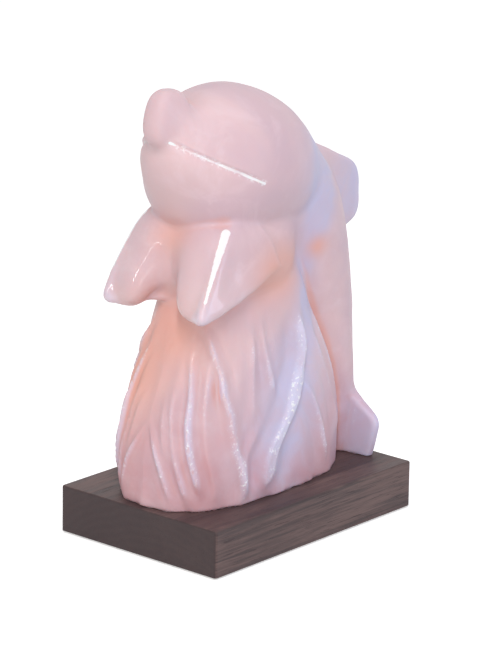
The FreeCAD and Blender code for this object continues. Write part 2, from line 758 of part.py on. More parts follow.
def make_salt_carving():
    """The whole figure as one stone, flat underneath, bored and drilled from below."""
    figure = fuse(
        "figure",
        make_wave(),
        make_trunk(),
        ellipsoid("head"),
        ellipsoid("jaw"),
        make_flipper(1),
        make_flipper(-1),
        make_dorsal_fin(),
        make_fluke(1),
        make_fluke(-1),
        rounded_mass("chest"),
        rounded_mass("beak"),
        rounded_mass("lobe", 1),
        rounded_mass("lobe", -1),
        rounded_mass("chin"),
    )
    # the seams between forms stay, because merging faces across them spoils the stone
    figure.Refine = False
    overcut = "Sizes.felt_thick"
    wide = "2 * Sizes.base_length"
    ground = block("ground", wide, wide, "Sizes.base_thick", z="-Sizes.base_thick")
    bore_height = f"Sizes.bore_depth + {overcut}"
    bore = cylinder("bulb_bore", "Sizes.bore_radius", bore_height, z=f"-{overcut}")
    bore_cone = cone(
        "bulb_bore_cone",
        "Sizes.bore_radius",
        "Sizes.bore_radius / 4",
        "Sizes.bore_tip",
        z="Sizes.bore_depth",
    )
    tools = [ground, bore, bore_cone]
    for index, (x, y) in enumerate(SCREW_PLACES, start=1):
        tools.append(
            cylinder(
                f"plug_hole_{index}",
                "Sizes.plug_radius",
                f"Sizes.plug_length + {overcut}",
                x,
                y,
                f"-{overcut}",
            )
        )
    carving = cut("salt_carving", figure, fuse("figure_tools", *tools))
    carving.Refine = False
    return place(carving, z=BASE_TOP)


# --------------------------------------------------------------------- bulb holder
def make_holder_plate():
    """Plate that closes the recess, with boss, air holes, finger grip and clip lugs."""
    plate = cylinder("plate_disc", PLATE_RADIUS, "Sizes.plate_thick", z=PLATE_UNDER)
    boss = cylinder("plate_boss", "Sizes.boss_radius", "Sizes.boss_height", z=PLATE_TOP)
    lugs = []
    lug_height = "(Sizes.pivot_rise + Sizes.lug_top)"
    for word, sign in (("right", ""), ("left", "-")):
        lugs.append(
            block(
                f"lug_{word}",
                "Sizes.lug_thick",
                "Sizes.lug_width",
                lug_height,
                x=f"{sign}Sizes.pivot_offset",
                z=PLATE_TOP,
            )
        )
    solid = fuse("plate_solid", plate, boss, *lugs)

    hollow_radius = "Sizes.boss_radius - Sizes.boss_wall"
    tools = [cylinder("boss_hollow", hollow_radius, "Sizes.boss_height", z=PLATE_TOP)]
    cord = cylinder("boss_cord_hole", "Sizes.cord_hole_radius", "2 * Sizes.boss_radius")
    cord.Placement = Placement(Vector(0, 0, 0), Rotation(Vector(1, 0, 0), -90))
    tools.append(place(cord, z=CORD_AXIS))
    for index in range(2):
        sign = "" if index == 0 else "-"
        pivot = cylinder(
            f"lug_hole_{index + 1}", "Sizes.wire_radius + Sizes.pivot_play", "Sizes.lug_width * 2"
        )
        pivot.Placement = Placement(Vector(0, 0, 0), Rotation(Vector(1, 0, 0), -90))
        tools.append(place(pivot, f"{sign}Sizes.pivot_offset", "-Sizes.lug_width", PIVOT_AXIS))
    for index in range(4):
        angle = 45 + 90 * index
        tools.append(
            cylinder(
                f"vent_{index + 1}",
                "Sizes.vent_radius",
                "Sizes.plate_thick",
                f"Sizes.vent_circle * cos({angle} deg)",
                f"Sizes.vent_circle * sin({angle} deg)",
                PLATE_UNDER,
            )
        )
    for index, side in enumerate(("", "-"), start=1):
        tools.append(
            block(
                f"finger_grip_{index}",
                "Sizes.grip_width",
                "Sizes.grip_width / 2",
                "Sizes.grip_depth",
                y=f"{side}Sizes.grip_width",
                z=PLATE_UNDER,
            )
        )
    return cut("holder_plate", solid, fuse("plate_tools", *tools))


def make_holder_sleeve():
    """Sleeve screwed over the boss, with a rim round its mouth."""
    wall = cylinder("sleeve_wall", SLEEVE_OUTER, "Sizes.sleeve_length", z=SLEEVE_UNDER)
    hollow = cylinder(
        "sleeve_hollow", SLEEVE_BORE, "Sizes.sleeve_length - Sizes.sleeve_lip", z=SLEEVE_UNDER
    )
    mouth = cylinder("sleeve_mouth_hole", "Sizes.sleeve_mouth", "Sizes.sleeve_length", z=SLEEVE_UNDER)
    return cut("holder_sleeve", wall, fuse("sleeve_inside", hollow, mouth))


def make_contact_block():
    """Insulating block on top of the boss, slotted for the two wires."""
    solid = cylinder("block_solid", "Sizes.boss_radius", "Sizes.block_height", z=BOSS_TOP)
    tools = []
    for index, sign in enumerate(("", "-"), start=1):
        tools.append(
            cylinder(
                f"terminal_hole_{index}",
                "Sizes.terminal_radius + Sizes.fit_clear",
                "Sizes.terminal_length + Sizes.fit_clear",
                y=f"{sign}Sizes.terminal_offset",
                z=BOSS_TOP,
            )
        )
        tools.append(
            block(
                f"wire_slot_{index}",
                "2 * Sizes.terminal_radius",
                "Sizes.boss_radius / 3",
                "Sizes.block_height",
                y=f"{sign}Sizes.boss_radius",
                z=BOSS_TOP,
            )
        )
    return cut("contact_block", solid, fuse("block_tools", *tools))


def make_screw_shell():
    """Thin brass shell that the bulb screws into, on a flat foot."""
    tube = cylinder("shell_tube", SHELL_OUTER, "Sizes.shell_length", z=BLOCK_TOP)
    foot = cylinder("shell_foot_disc", "Sizes.shell_foot", "Sizes.shell_wall", z=BLOCK_TOP)
    hollow = cylinder("shell_hollow", SHELL_BORE, "Sizes.shell_length", z=BLOCK_TOP)
    return cut("screw_shell", fuse("shell_solid", tube, foot), hollow)


def make_centre_contact():
    """Sprung strip bent up under the bulb's tip."""
    made = doc.addObject("Part::Feature", "centre_contact")
    reach = size("strip_reach")
    rise = size("strip_rise")
    thick = size("strip_thick")
    half = size("tip_radius")
    top = [
        (-reach, thick),
        (-half, rise),
        (half, rise),
        (half, rise - thick),
        (-half + thick, rise - thick),
    ]
    under = [(-reach + thick, thick), (reach, thick), (reach, 0.0), (-reach, 0.0)]
    points = [Vector(x, -size("strip_width") / 2, z) for x, z in top + under]
    face = Part.Face(Part.makePolygon(points + points[:1]))
    made.Shape = face.extrude(Vector(0, size("strip_width"), 0))
    return place(made, z=BLOCK_TOP)


def make_side_terminal():
    """Brass tag under the block that leads from the shell's foot to its screw."""
    under = block(
        "tag_flat",
        "Sizes.strip_width",
        "Sizes.terminal_offset + Sizes.strip_width / 2",
        "Sizes.strip_thick",
        y="(Sizes.terminal_offset + Sizes.strip_width / 2) / 2",
        z=f"{BOSS_TOP} - Sizes.strip_thick",
    )
    hole = cylinder(
        "tag_hole",
        "Sizes.terminal_radius + Sizes.fit_clear",
        "Sizes.strip_thick",
        y="Sizes.terminal_offset",
        z=f"{BOSS_TOP} - Sizes.strip_thick",
    )
    return cut("side_terminal", under, hole)


def make_terminal_screws():
    """Two small screws, heads down, that clamp the wires to the block."""
    screws = []
    seats = (f"{BOSS_TOP} - Sizes.strip_thick", BOSS_TOP)
    for index, (sign, seat) in enumerate(zip(("", "-"), seats), start=1):
        y = f"{sign}Sizes.terminal_offset"
        head = cylinder(
            f"terminal_head_{index}",
            "Sizes.terminal_head",
            "Sizes.terminal_head_height",
            y=y,
            z=f"{seat} - Sizes.terminal_head_height",
        )
        shank = cylinder(
            f"terminal_shank_{index}", "Sizes.terminal_radius", "Sizes.terminal_length", y=y, z=seat
        )
        screws.append(fuse(f"terminal_screw_{index}", head, shank))
    return group("terminal_screws", *screws)


# -------------------------------------------------------------- sprung wire clips
def clip_reach():
    """How far out the top bar of a clip lies: just short of the bore's wall."""
    wall = size("bore_radius") - size("clip_clear") - size("wire_radius")
    return math.sqrt(wall**2 - (size("clip_width") / 2) ** 2)


def make_clip(side):
    """One loop of spring wire, its two ends hooked into the lug. side is 1 or -1."""
    word = "right" if side > 0 else "left"
    lean = math.asin((clip_reach() - size("pivot_offset")) / size("clip_length"))
    up = Vector(side * math.sin(lean), 0, math.cos(lean))
    half = size("clip_width") / 2
    bend = size("wire_bend")
    length = size("clip_length")
    ends = size("clip_gap")
    out = Vector(0, 1, 0)
    corners = [
        out * ends,
        out * half,
        out * half + up * length,
        out * -half + up * length,
        out * -half,
        out * -ends,
    ]
    edges = []
    start = corners[0]
    for before, corner, after in zip(corners, corners[1:], corners[2:]):
        inward = (before - corner).normalize()
        onward = (after - corner).normalize()
        bend_from = corner + inward * bend
        bend_to = corner + onward * bend
        middle = corner + (inward + onward) * bend * (1 - math.sqrt(0.5))
        edges.append(Part.LineSegment(start, bend_from).toShape())
        edges.append(Part.Arc(bend_from, middle, bend_to).toShape())
        start = bend_to
    edges.append(Part.LineSegment(start, corners[-1]).toShape())
    path = Part.Wire(edges)
    section = Part.Wire(Part.Circle(corners[0], out, size("wire_radius")).toShape())
    made = doc.addObject("Part::Feature", f"clip_{word}")
    made.Shape = path.makePipeShell([section], True, False)
    sign = "" if side > 0 else "-"
    return place(made, f"{sign}Sizes.pivot_offset", "0", PIVOT_AXIS)


# ---------------------------------------------------------------------------- bulb
def bulb_form(name, shrink):
    """The bulb's glass as a solid, drawn in by an expression for its inside."""
    neck = f"(Sizes.cap_radius - Sizes.cap_wall - {shrink})"
    belly = f"(Sizes.glass_radius - {shrink})"
    neck_under = f"({CAP_TOP} - Sizes.neck_depth)"
    shoulder_top = f"({CAP_TOP} + Sizes.shoulder_height)"
    dome_centre = f"({GLASS_TOP} - Sizes.glass_radius)"
    parts = [
        cylinder(f"{name}_neck", neck, "Sizes.neck_depth", z=neck_under),
        cone(f"{name}_shoulder", neck, belly, "Sizes.shoulder_height", z=CAP_TOP),
        cylinder(f"{name}_belly", belly, f"{dome_centre} - {shoulder_top}", z=shoulder_top),
    ]
    dome = doc.addObject("Part::Sphere", f"{name}_dome")
    bind(dome, Radius=belly)
    dome.Angle1 = 0
    parts.append(place(dome, z=dome_centre))
    return fuse(name, *parts)


def make_bulb_glass():
    """Small tubular glass envelope with a round end."""
    outside = bulb_form("glass_outside", "0")
    inside = bulb_form("glass_inside", "Sizes.glass_wall")
    return cut("bulb_glass", outside, inside)


def make_bulb_cap():
    """Screw cap round the neck, with the insulator's taper below it."""
    wall = cylinder("cap_wall", "Sizes.cap_radius", "Sizes.cap_length", z=CAP_UNDER)
    hollow = cylinder(
        "cap_hollow", "Sizes.cap_radius - Sizes.cap_wall", "Sizes.cap_length", z=CAP_UNDER
    )
    return cut("bulb_cap", wall, hollow)


def make_bulb_insulator():
    """Dark glass taper between the cap and the tip."""
    lip = cylinder("insulator_lip", "Sizes.cap_radius - Sizes.cap_wall", "Sizes.tip_height", z=CAP_UNDER)
    taper = cone(
        "insulator_taper",
        "Sizes.tip_radius",
        "Sizes.insulator_top",
        "Sizes.insulator_height",
        z=INSULATOR_UNDER,
    )
    return fuse("bulb_insulator", lip, taper)


def make_bulb_contact():
    """Solder tip under the insulator."""
    return cone(
        "bulb_contact", "Sizes.tip_radius * 0.7", "Sizes.tip_radius", "Sizes.tip_height", z=TIP_UNDER
    )


def make_bulb_stem():
    """Glass stem on a flare that closes the neck."""
    neck_bore = "(Sizes.cap_radius - Sizes.cap_wall - Sizes.glass_wall)"
    flare_under = f"({CAP_TOP} - Sizes.neck_depth)"
    rim = cylinder("stem_rim", neck_bore, "Sizes.glass_wall", z=flare_under)
    flare = cone(
        "stem_flare",
        f"{neck_bore} * 0.8",
        "Sizes.stem_radius",
        "Sizes.neck_depth",
        z=f"{flare_under} + Sizes.glass_wall",
    )
    rod = cylinder(
        "stem_rod", "Sizes.stem_radius", "Sizes.stem_height + Sizes.neck_depth", z=flare_under
    )
    return fuse("bulb_stem", rim, flare, rod)


def make_bulb_wires():
    """Two bent leads on the stem and the coiled filament between their tips."""
    stem_top = size("stem_height")
    spread = size("lead_spread")
    height = size("lead_height")
    wire = size("lead_radius")
    leads = []
    for side in (1, -1):
        foot = Vector(side * (size("stem_radius") + wire), 0, size("shoulder_height"))
        knee = Vector(side * (size("stem_radius") + wire), 0, stem_top)
        tip = Vector(side * spread, 0, height)
        path = Part.makePolygon([foot, knee, tip])
        section = Part.Wire(Part.Circle(foot, Vector(0, 0, 1), wire).toShape())
        leads.append(path.makePipeShell([section], True, False, 1))
    lead_pair = doc.addObject("Part::Feature", "bulb_leads")
    lead_pair.Shape = Part.makeCompound(leads)
    place(lead_pair, z=CAP_TOP)

    rod = size("filament_radius")
    bow = Part.Arc(
        Vector(-spread, 0, height + rod),
        Vector(0, 0, height + spread),
        Vector(spread, 0, height + rod),
    )
    start = bow.toShape().tangentAt(bow.FirstParameter)
    section = Part.Wire(Part.Circle(Vector(-spread, 0, height + rod), start, rod).toShape())
    filament = doc.addObject("Part::Feature", "bulb_filament")
    filament.Shape = Part.Wire(bow.toShape()).makePipeShell([section], True, False)
    place(filament, z=CAP_TOP)
    return [lead_pair, filament]


# ------------------------------------------------------------------------ assembly
subparts = [
    make_salt_carving(),
    make_wood_base(),
    make_felt_sheet(),
    make_salt_plugs(),
    make_salt_screws(),
    make_holder_plate(),
    make_holder_sleeve(),
    make_contact_block(),
    make_screw_shell(),
    make_centre_contact(),
    make_side_terminal(),
    make_terminal_screws(),
    make_clip(1),
    make_clip(-1),
    make_bulb_glass(),
    make_bulb_cap(),
    make_bulb_insulator(),
    make_bulb_contact(),
    make_bulb_stem(),
    *make_bulb_wires(),
]
doc.recompute()

for thing in doc.Objects:
    if "Invalid" in thing.State or "Error" in thing.State:
        raise RuntimeError(f"{thing.Name} is {thing.State}")
for part in subparts:
    if part.Shape.isNull() or not part.Shape.isValid():
        raise RuntimeError(f"{part.Label} has no valid shape")

os.makedirs("parts", exist_ok=True)
for part in subparts:
    part.Shape.exportStep(f"parts/{part.Label}.step")
    print(part.Label, len(part.Shape.Solids), "solids", round(part.Shape.Volume / 1000, 2), "cm3")
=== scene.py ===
"""Dresses a salt crystal lamp, a dolphin carved from pink rock salt on a walnut block.

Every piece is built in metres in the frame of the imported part: +Z up, the origin on the
table under the middle of the base, the dolphin looking towards -Y.
"""

from __future__ import annotations

import logging
import math
from dataclasses import dataclass, field
from enum import Enum

import bpy
import numpy as np
from mathutils import Matrix, Vector

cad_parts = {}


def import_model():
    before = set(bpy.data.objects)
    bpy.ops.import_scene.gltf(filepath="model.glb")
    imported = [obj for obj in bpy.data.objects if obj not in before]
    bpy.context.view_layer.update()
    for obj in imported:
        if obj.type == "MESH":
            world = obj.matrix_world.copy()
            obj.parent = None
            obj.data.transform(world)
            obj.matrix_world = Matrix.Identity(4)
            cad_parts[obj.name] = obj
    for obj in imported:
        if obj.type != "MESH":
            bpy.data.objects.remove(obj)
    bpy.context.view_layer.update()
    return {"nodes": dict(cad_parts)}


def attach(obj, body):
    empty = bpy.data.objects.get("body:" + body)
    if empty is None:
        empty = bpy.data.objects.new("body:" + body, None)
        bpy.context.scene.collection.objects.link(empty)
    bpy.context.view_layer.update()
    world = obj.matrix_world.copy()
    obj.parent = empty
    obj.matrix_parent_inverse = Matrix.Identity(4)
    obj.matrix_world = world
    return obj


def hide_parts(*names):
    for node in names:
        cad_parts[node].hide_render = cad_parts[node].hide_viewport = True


LOG = logging.getLogger("salt_lamp")
MM = 0.001
FOOT = 26.0  # height of the stone's foot above the table, in mm
PICTURE_HIGH = 650  # rows of the picture, its longer side
TINY = 1e-9
SHARP = math.radians(38.0)  # edges bent more than this are shaded sharp

Colour = tuple[float, float, float]
Place = tuple[float, float, float]
Line = tuple[Place, ...]
Spots = tuple[tuple[float, float, float, float], ...]
Profile = list[tuple[float, float]]
Faces = list[tuple[int, ...]]
Array = np.ndarray
Materials = dict["Slot", bpy.types.Material]


class Body(Enum):
    """The bodies that carry the dressed pieces."""

    LAMP = "lamp"
    HOLDER = "holder"
    BULB = "bulb"


class Slot(Enum):
    """The material slots of the base and of all that is in it."""

    WALNUT = "walnut"
    FELT = "felt"
    GREY_PLASTIC = "grey_plastic"
    WHITE_PLASTIC = "white_plastic"
    BLACK_PLASTIC = "black_plastic"
    BRASS = "brass"
    STEEL = "steel"
    SPRING_STEEL = "spring_steel"
    NICKEL = "nickel"
    SOLDER = "solder"
    TUNGSTEN = "tungsten"
    VITRITE = "vitrite"
    BULB_GLASS = "bulb_glass"


# ------------------------------------------------------------------ distance fields
def soft_union(first: Array, second: Array, reach: float) -> Array:
    """Joins two distance fields with a fillet.

    Args:
        first: Distances to one form, in mm, negative inside.
        second: Distances to the other form.
        reach: Width over which the two run together, in mm.

    Returns:
        Distances to the joined form.
    """
    overlap = np.maximum(reach - np.abs(first - second), 0.0) / reach
    return np.minimum(first, second) - overlap * overlap * (reach * 0.25)


def soft_overlap(first: Array, second: Array, reach: float) -> Array:
    """Keeps what two distance fields share, with a rounded edge."""
    return -soft_union(-first, -second, reach)


def one_side(points: Array) -> Array:
    """The same places, with those of the left side mirrored to the right."""
    return np.abs(points) * (1.0, 0.0, 0.0) + points * (0.0, 1.0, 1.0)


def ease(value: Array, start: float, end: float) -> Array:
    """Rises smoothly from 0 at start to 1 at end."""
    share = np.clip((value - start) / (end - start), 0.0, 1.0)
    return share * share * (3.0 - 2.0 * share)


def ripple(points: Array, length: float, seed: float) -> Array:
    """Slow uneven swelling of a hand-worked surface.

    Args:
        points: Places in mm, one a row.
        length: Length of a swell, in mm.
        seed: Number that sets one pattern apart from another.

    Returns:
        Heights between about -1 and 1.
    """
    x, y, z = (points[:, axis] * (2.0 * math.pi / length) for axis in range(3))
    first = np.sin(x + 1.7 * np.sin(0.61 * y + seed) + 0.4 * z)
    second = np.sin(1.13 * y + 1.3 * np.sin(0.73 * z + 2.1 * seed) - 0.5 * x)
    third = np.sin(0.91 * z + 1.5 * np.sin(0.67 * x + 0.7 * seed) + 0.3 * y)
    return (first + second + third) / 3.0


def line_distance(points: Array, line: Line) -> tuple[Array, Array]:
    """Distance to a run of straight pieces, and how far along it the nearest place is.

    Args:
        points: Places in mm, one a row.
        line: Corners of the run.

    Returns:
        The distances, and the shares of the run's length from 0 to 1.
    """
    corners = np.array(line, float)
    steps = np.linalg.norm(np.diff(corners, axis=0), axis=1)
    total = steps.sum()
    best = np.full(len(points), np.inf)
    where = np.zeros(len(points))
    done = 0.0
    for start, end, step in zip(corners, corners[1:], steps):
        way = (end - start) / step
        along = np.clip((points - start) @ way, 0.0, step)
        gap = np.linalg.norm(points - start - along[:, None] * way, axis=1)
        nearer = gap < best
        best[nearer] = gap[nearer]
        where[nearer] = (done + along[nearer]) / total
        done += step
    return best, where


@dataclass(frozen=True)
class Mass:
    """A rounded mass of the body, the same on both sides of the middle.

    Attributes:
        y: Place of its centre along the lamp, in mm.
        z: Height of its centre above the stone's foot.
        wide: Half width.
        long: Half length, along the way it points.
        deep: Half depth, square to that.
        tilt: How far it points upwards, in degrees.
        x: Its centre's place each side of the middle.
        turn: How far it points outwards, in degrees.
        power: 2 for an even oval, more for a boxier one.
        least: Least slope of its field at the middle, as a share of one over its size.
    """

    y: float
    z: float
    wide: float
    long: float
    deep: float
    tilt: float = 0.0
    x: float = 0.0
    turn: float = 0.0
    power: float = 2.0
    least: float = 0.3

    def distance(self, points: Array) -> Array:
        """How far places lie from the mass.

        Args:
            points: Places in mm, with x of 0 or more.

        Returns:
            The distances, less than 0 inside.
        """
        tilt, turn = math.radians(self.tilt), math.radians(self.turn)
        level = math.cos(tilt)
        forward = np.array([math.sin(turn) * level, -math.cos(turn) * level, math.sin(tilt)])
        across = np.array([math.cos(turn), math.sin(turn), 0.0])
        upward = np.cross(forward, -across)
        local = points - np.array([self.x, self.y, self.z])
        local = local @ np.stack([across, forward, upward], axis=1)
        half = np.array([self.wide, self.long, self.deep])
        share = np.abs(local) / half
        near = np.power((share**self.power).sum(axis=1) + TINY, 1.0 / self.power)
        pull = share ** (self.power - 1.0) / half
        slope = np.linalg.norm(pull, axis=1) * np.power(near, 1.0 - self.power)
        return (near - 1.0) / np.maximum(slope, self.least / half.max())


@dataclass(frozen=True)
class Slab:
    """A flat fin with a rounded outline, given by the straight sides that bound it.

    Attributes:
        sides: For each side, a point on it and the way it faces, in the fin's own plane.
        middle: Place of the fin's plane.
        thick: Half thickness at the root.
        thinning: How much thinner it gets for each mm outwards.
        root: Where the thinning starts.
        corner: How far the corners of the outline are rounded.
        rim: How far the rim is rounded over.
    """

    sides: tuple[tuple[float, float, float, float], ...]
    middle: float
    thick: float
    thinning: float
    root: float
    corner: float
    rim: float

    def distance(self, out: Array, up: Array, across: Array) -> Array:
        """How far places lie from the fin.

        Args:
            out: The places along it, in mm.
            up: The places up it.
            across: The places square to its plane.

        Returns:
            The distances, less than 0 inside.
        """
        shape = None
        for start_out, start_up, way_out, way_up in self.sides:
            length = math.hypot(way_out, way_up)
            side = ((out - start_out) * way_out + (up - start_up) * way_up) / length
            shape = side if shape is None else soft_overlap(shape, side, self.corner)
        half = self.thick - np.maximum(out - self.root, 0.0) * self.thinning
        return soft_overlap(shape, np.abs(across - self.middle) - half, self.rim)


@dataclass(frozen=True)
class Flipper:
    """A fat three-sided blade from three corners at the shoulder to one tip.

    Attributes:
        top: Upper corner at the shoulder, in mm above the stone's foot.
        back: Rear corner.
        under: Lower corner.
        tip: The tip.
        edge: How far its edges are rounded.
        fullness: How long it keeps its girth on the way to the tip.
        narrowing: How bluntly it ends.
        shoulder: How far it reaches into the body.
    """

    top: Place = (25.0, -32.0, 152.0)
    back: Place = (33.0, -12.0, 124.0)
    under: Place = (3.0, -43.0, 104.0)
    tip: Place = (33.0, -72.0, 102.0)
    edge: float = 6.0
    fullness: float = 1.6
    narrowing: float = 0.66
    shoulder: float = 8.0

    def distance(self, points: Array) -> Array:
        """How far places lie from the flipper.

        Args:
            points: Places in mm, with x of 0 or more.

        Returns:
            The distances, less than 0 inside.
        """
        corners = [np.array(corner) for corner in (self.top, self.back, self.under)]
        root = sum(corners) / 3.0
        axis = np.array(self.tip) - root
        length = float(np.linalg.norm(axis))
        axis = axis / length
        local = points - root
        along = local @ axis
        share = np.clip(along / length, 0.0, 1.0)
        scale = np.power(1.0 - share**self.fullness + 1e-6, self.narrowing)
        section = [corner - root - axis * float((corner - root) @ axis) for corner in corners]
        shape = None
        for index, here in enumerate(section):
            after = section[(index + 1) % 3]
            way = np.cross(after - here, axis)
            way = way / np.linalg.norm(way)
            if float(here @ way) < 0:
                way = -way
            side = local @ way - float(here @ way) * scale
            shape = side if shape is None else soft_overlap(shape, side, self.edge)
        beyond = np.maximum(along - length, 0.0)
        shape = np.where(beyond > 0, np.hypot(np.maximum(shape, 0.0), beyond), shape)
        return np.maximum(shape, -along - self.shoulder)


@dataclass(frozen=True)
class Fold:
    """One fold of the wave.

    Attributes:
        places: Places along it, from the top down: way round from the front, 0 to 1, and
            height in mm.
        rise: Height of its ridge, in mm.
        half: Half width of the ridge.
    """

    places: tuple[tuple[float, float], ...]
    rise: float = 1.5
    half: float = 2.4


@dataclass(frozen=True)
class Crease:
    """A line cut into the face, with a raised rim above it.

    Attributes:
        line: Its corners, in mm above the foot.
        depth: Depth of the cut.
        rim: Height of the rim.
        half: Half width of the cut.
        rim_place: Height of the rim over the cut, in half widths.
        rising: Share of the line over which the cut sets in.
        falling: Share at which it starts to run out.
    """

    line: Line
    depth: float
    rim: float
    half: float
    rim_place: float = 1.7
    rising: float = 0.12
    falling: float = 0.8

    def relief(self, points: Array) -> Array:
        """How far the skin stands out beside the line.

        Args:
            points: Places in mm, with x of 0 or more.

        Returns:
            The heights in mm, less than 0 in the cut.
        """
        below, share = line_distance(points, self.line)
        above, _ = line_distance(points - np.array([0.0, 0.0, self.half * self.rim_place]), self.line)
        fade = ease(share, 0.0, self.rising) * (1.0 - ease(share, self.falling, 1.0))
        cut = self.depth * np.exp(-((below / self.half) ** 2))
        return fade * (self.rim * np.exp(-((above / self.half) ** 2)) - cut)


@dataclass(frozen=True)
class Wave:
    """The folded skirt of water that the body rises from.

    Attributes:
        heights: Heights above the foot at which the outline is given.
        front: Reach of the outline forwards at each height.
        back: Reach backwards.
        half: Half width.
        squareness: Power of the outline, 2 for an oval.
        folds: The sharp folds, the same on both sides.
        flutes: Number of the soft flutes between them, on each side.
        flute_depth: Depth of those.
        girth: Length of one side of the wave, in mm.
        sunk: How far the skin between the folds lies under the outline, in mm.
        crispness: Factor on each fold's rise.
        sway: How far the folds wander, as a share of the way round.
        rounding: Passes that round the corners of the outline's rows.
        hollow: Depth of the groove beside a fold, as a share of its rise.
    """

    heights: tuple[float, ...] = (0.0, 29.0, 50.0, 73.0, 97.0, 126.0, 134.0)
    front: tuple[float, ...] = (76.5, 76.7, 71.4, 61.2, 51.0, 36.0, 24.0)
    back: tuple[float, ...] = (62.0, 62.3, 56.8, 46.4, 36.0, 25.0, 16.0)
    half: tuple[float, ...] = (39.1, 39.3, 38.0, 35.0, 32.0, 22.4, 14.0)
    squareness: float = 2.6
    folds: tuple[Fold, ...] = (
        Fold(((-0.01, 50.0), (0.09, 24.0), (0.14, 4.0)), 1.2),
        Fold(((0.055, 62.0), (0.115, 28.0)), 0.9, 2.0),
        Fold(((0.089, 66.0), (0.19, 5.0)), 1.3),
        Fold(((0.126, 84.0), (0.177, 57.0), (0.23, 10.0)), 1.9, 2.2),
        Fold(((0.196, 86.0), (0.248, 42.0), (0.276, 3.0)), 1.2),
        Fold(((0.165, 96.0), (0.259, 70.0), (0.318, 49.0), (0.344, 27.0), (0.36, 6.0)), 2.0, 2.6),
        Fold(((0.265, 78.0), (0.279, 56.0)), 0.9, 2.0),
        Fold(((0.379, 92.0), (0.387, 44.0)), 1.3),
        Fold(((0.416, 98.0), (0.443, 68.0), (0.465, 54.0)), 1.2, 2.2),
        Fold(((0.42, 46.0), (0.368, 24.0), (0.346, 2.0)), 1.1, 2.2),
        Fold(
            ((0.628, 96.0), (0.597, 73.0), (0.532, 54.0), (0.502, 41.0), (0.47, 30.0), (0.423, 6.0)),
            2.3,
            4.4,
        ),
        Fold(((0.608, 68.0), (0.522, 42.0), (0.466, 26.0)), 1.3, 2.2),
        Fold(((0.59, 62.0), (0.622, 44.0), (0.68, 10.0)), 1.4),
        Fold(((0.697, 84.0), (0.716, 50.0), (0.757, 20.0)), 1.2),
        Fold(((0.78, 96.0), (0.81, 55.0), (0.84, 12.0)), 1.4),
    )
    flutes: float = 8.5
    flute_depth: float = 0.5
    girth: float = 150.0
    sunk: float = 1.5
    crispness: float = 1.35
    sway: float = 0.014
    rounding: int = 6
    hollow: float = 0.4

    def reach(self, height: Array) -> tuple[Array, Array, Array]:
        """Size of the outline at each height.

        Args:
            height: Heights above the foot, in mm.

        Returns:
            Its half length, its middle along the lamp and its half width.
        """
        fine = np.linspace(self.heights[0], self.heights[-1], 60)
        rows = []
        for row in (self.front, self.back, self.half):
            smooth = np.interp(fine, self.heights, row)
            for _ in range(self.rounding):
                smooth[1:-1] = (smooth[:-2] + 2 * smooth[1:-1] + smooth[2:]) / 4.0
            rows.append(np.interp(height, fine, smooth))
        return (rows[0] + rows[1]) / 2.0, (rows[1] - rows[0]) / 2.0, rows[2]

    def way_round(self, points: Array) -> Array:
        """How far round from the front each point is, 0 at the front and 1 at the back."""
        length, middle, half = self.reach(points[:, 2])
        return np.arctan2(points[:, 0] / half, (middle - points[:, 1]) / length) / math.pi

    def distance(self, points: Array) -> Array:
        """How far places lie from the plain wave, without its folds.

        Args:
            points: Places in mm, with x of 0 or more.

        Returns:
            The distances, less than 0 inside.
        """
        length, middle, half = self.reach(points[:, 2])
        across = points[:, 0] / half
        along = np.abs(points[:, 1] - middle) / length
        power = self.squareness
        near = np.power(np.power(across, power) + np.power(along, power) + TINY, 1.0 / power)
        slope_x = np.power(across / near, power - 1.0) / half
        slope_y = np.power(along / near, power - 1.0) / length
        least = 1.0 / 90.0
        slope = np.maximum(np.hypot(slope_x, slope_y), least)
        return np.maximum((near - 1.0) / slope, points[:, 2] - self.heights[-1])

    def relief(self, points: Array) -> Array:
        """How far the folds stand out of the plain wave.

        Args:
            points: Places in mm, on both sides.

        Returns:
            The heights in mm, less than 0 in the grooves.
        """
        half = one_side(points)
        height = points[:, 2]
        wander = self.sway * ripple(points, 70.0, 2.3) * ease(half[:, 0], 0.0, 12.0)
        way = self.way_round(half) + wander
        flute = np.cos(2.0 * math.pi * (way * self.flutes + 0.35 * np.sin(height / 24.0)))
        total = self.flute_depth * (flute - 0.4) * (1.0 - ease(height, 60.0, 110.0))
        for fold in self.folds:
            ways, heights = np.array(fold.places)[::-1].T
            aside = np.abs(way - np.interp(height, heights, ways)) * self.girth
            fade = ease(height, heights[0] - 6.0, heights[0] + 8.0)
            fade = fade * (1.0 - ease(height, heights[-1] - 16.0, heights[-1] + 2.0))
            ridge = np.exp(-1.2 * (np.hypot(aside, 0.6) - 0.6) / fold.half) * (aside < fold.half * 5.0)
            groove = np.exp(-(((aside - fold.half * 1.9) / fold.half) ** 2)) * self.hollow
            total += fold.rise * self.crispness * fade * (ridge - groove)
        return total - self.sunk * (1.0 - ease(height, 85.0, 110.0))


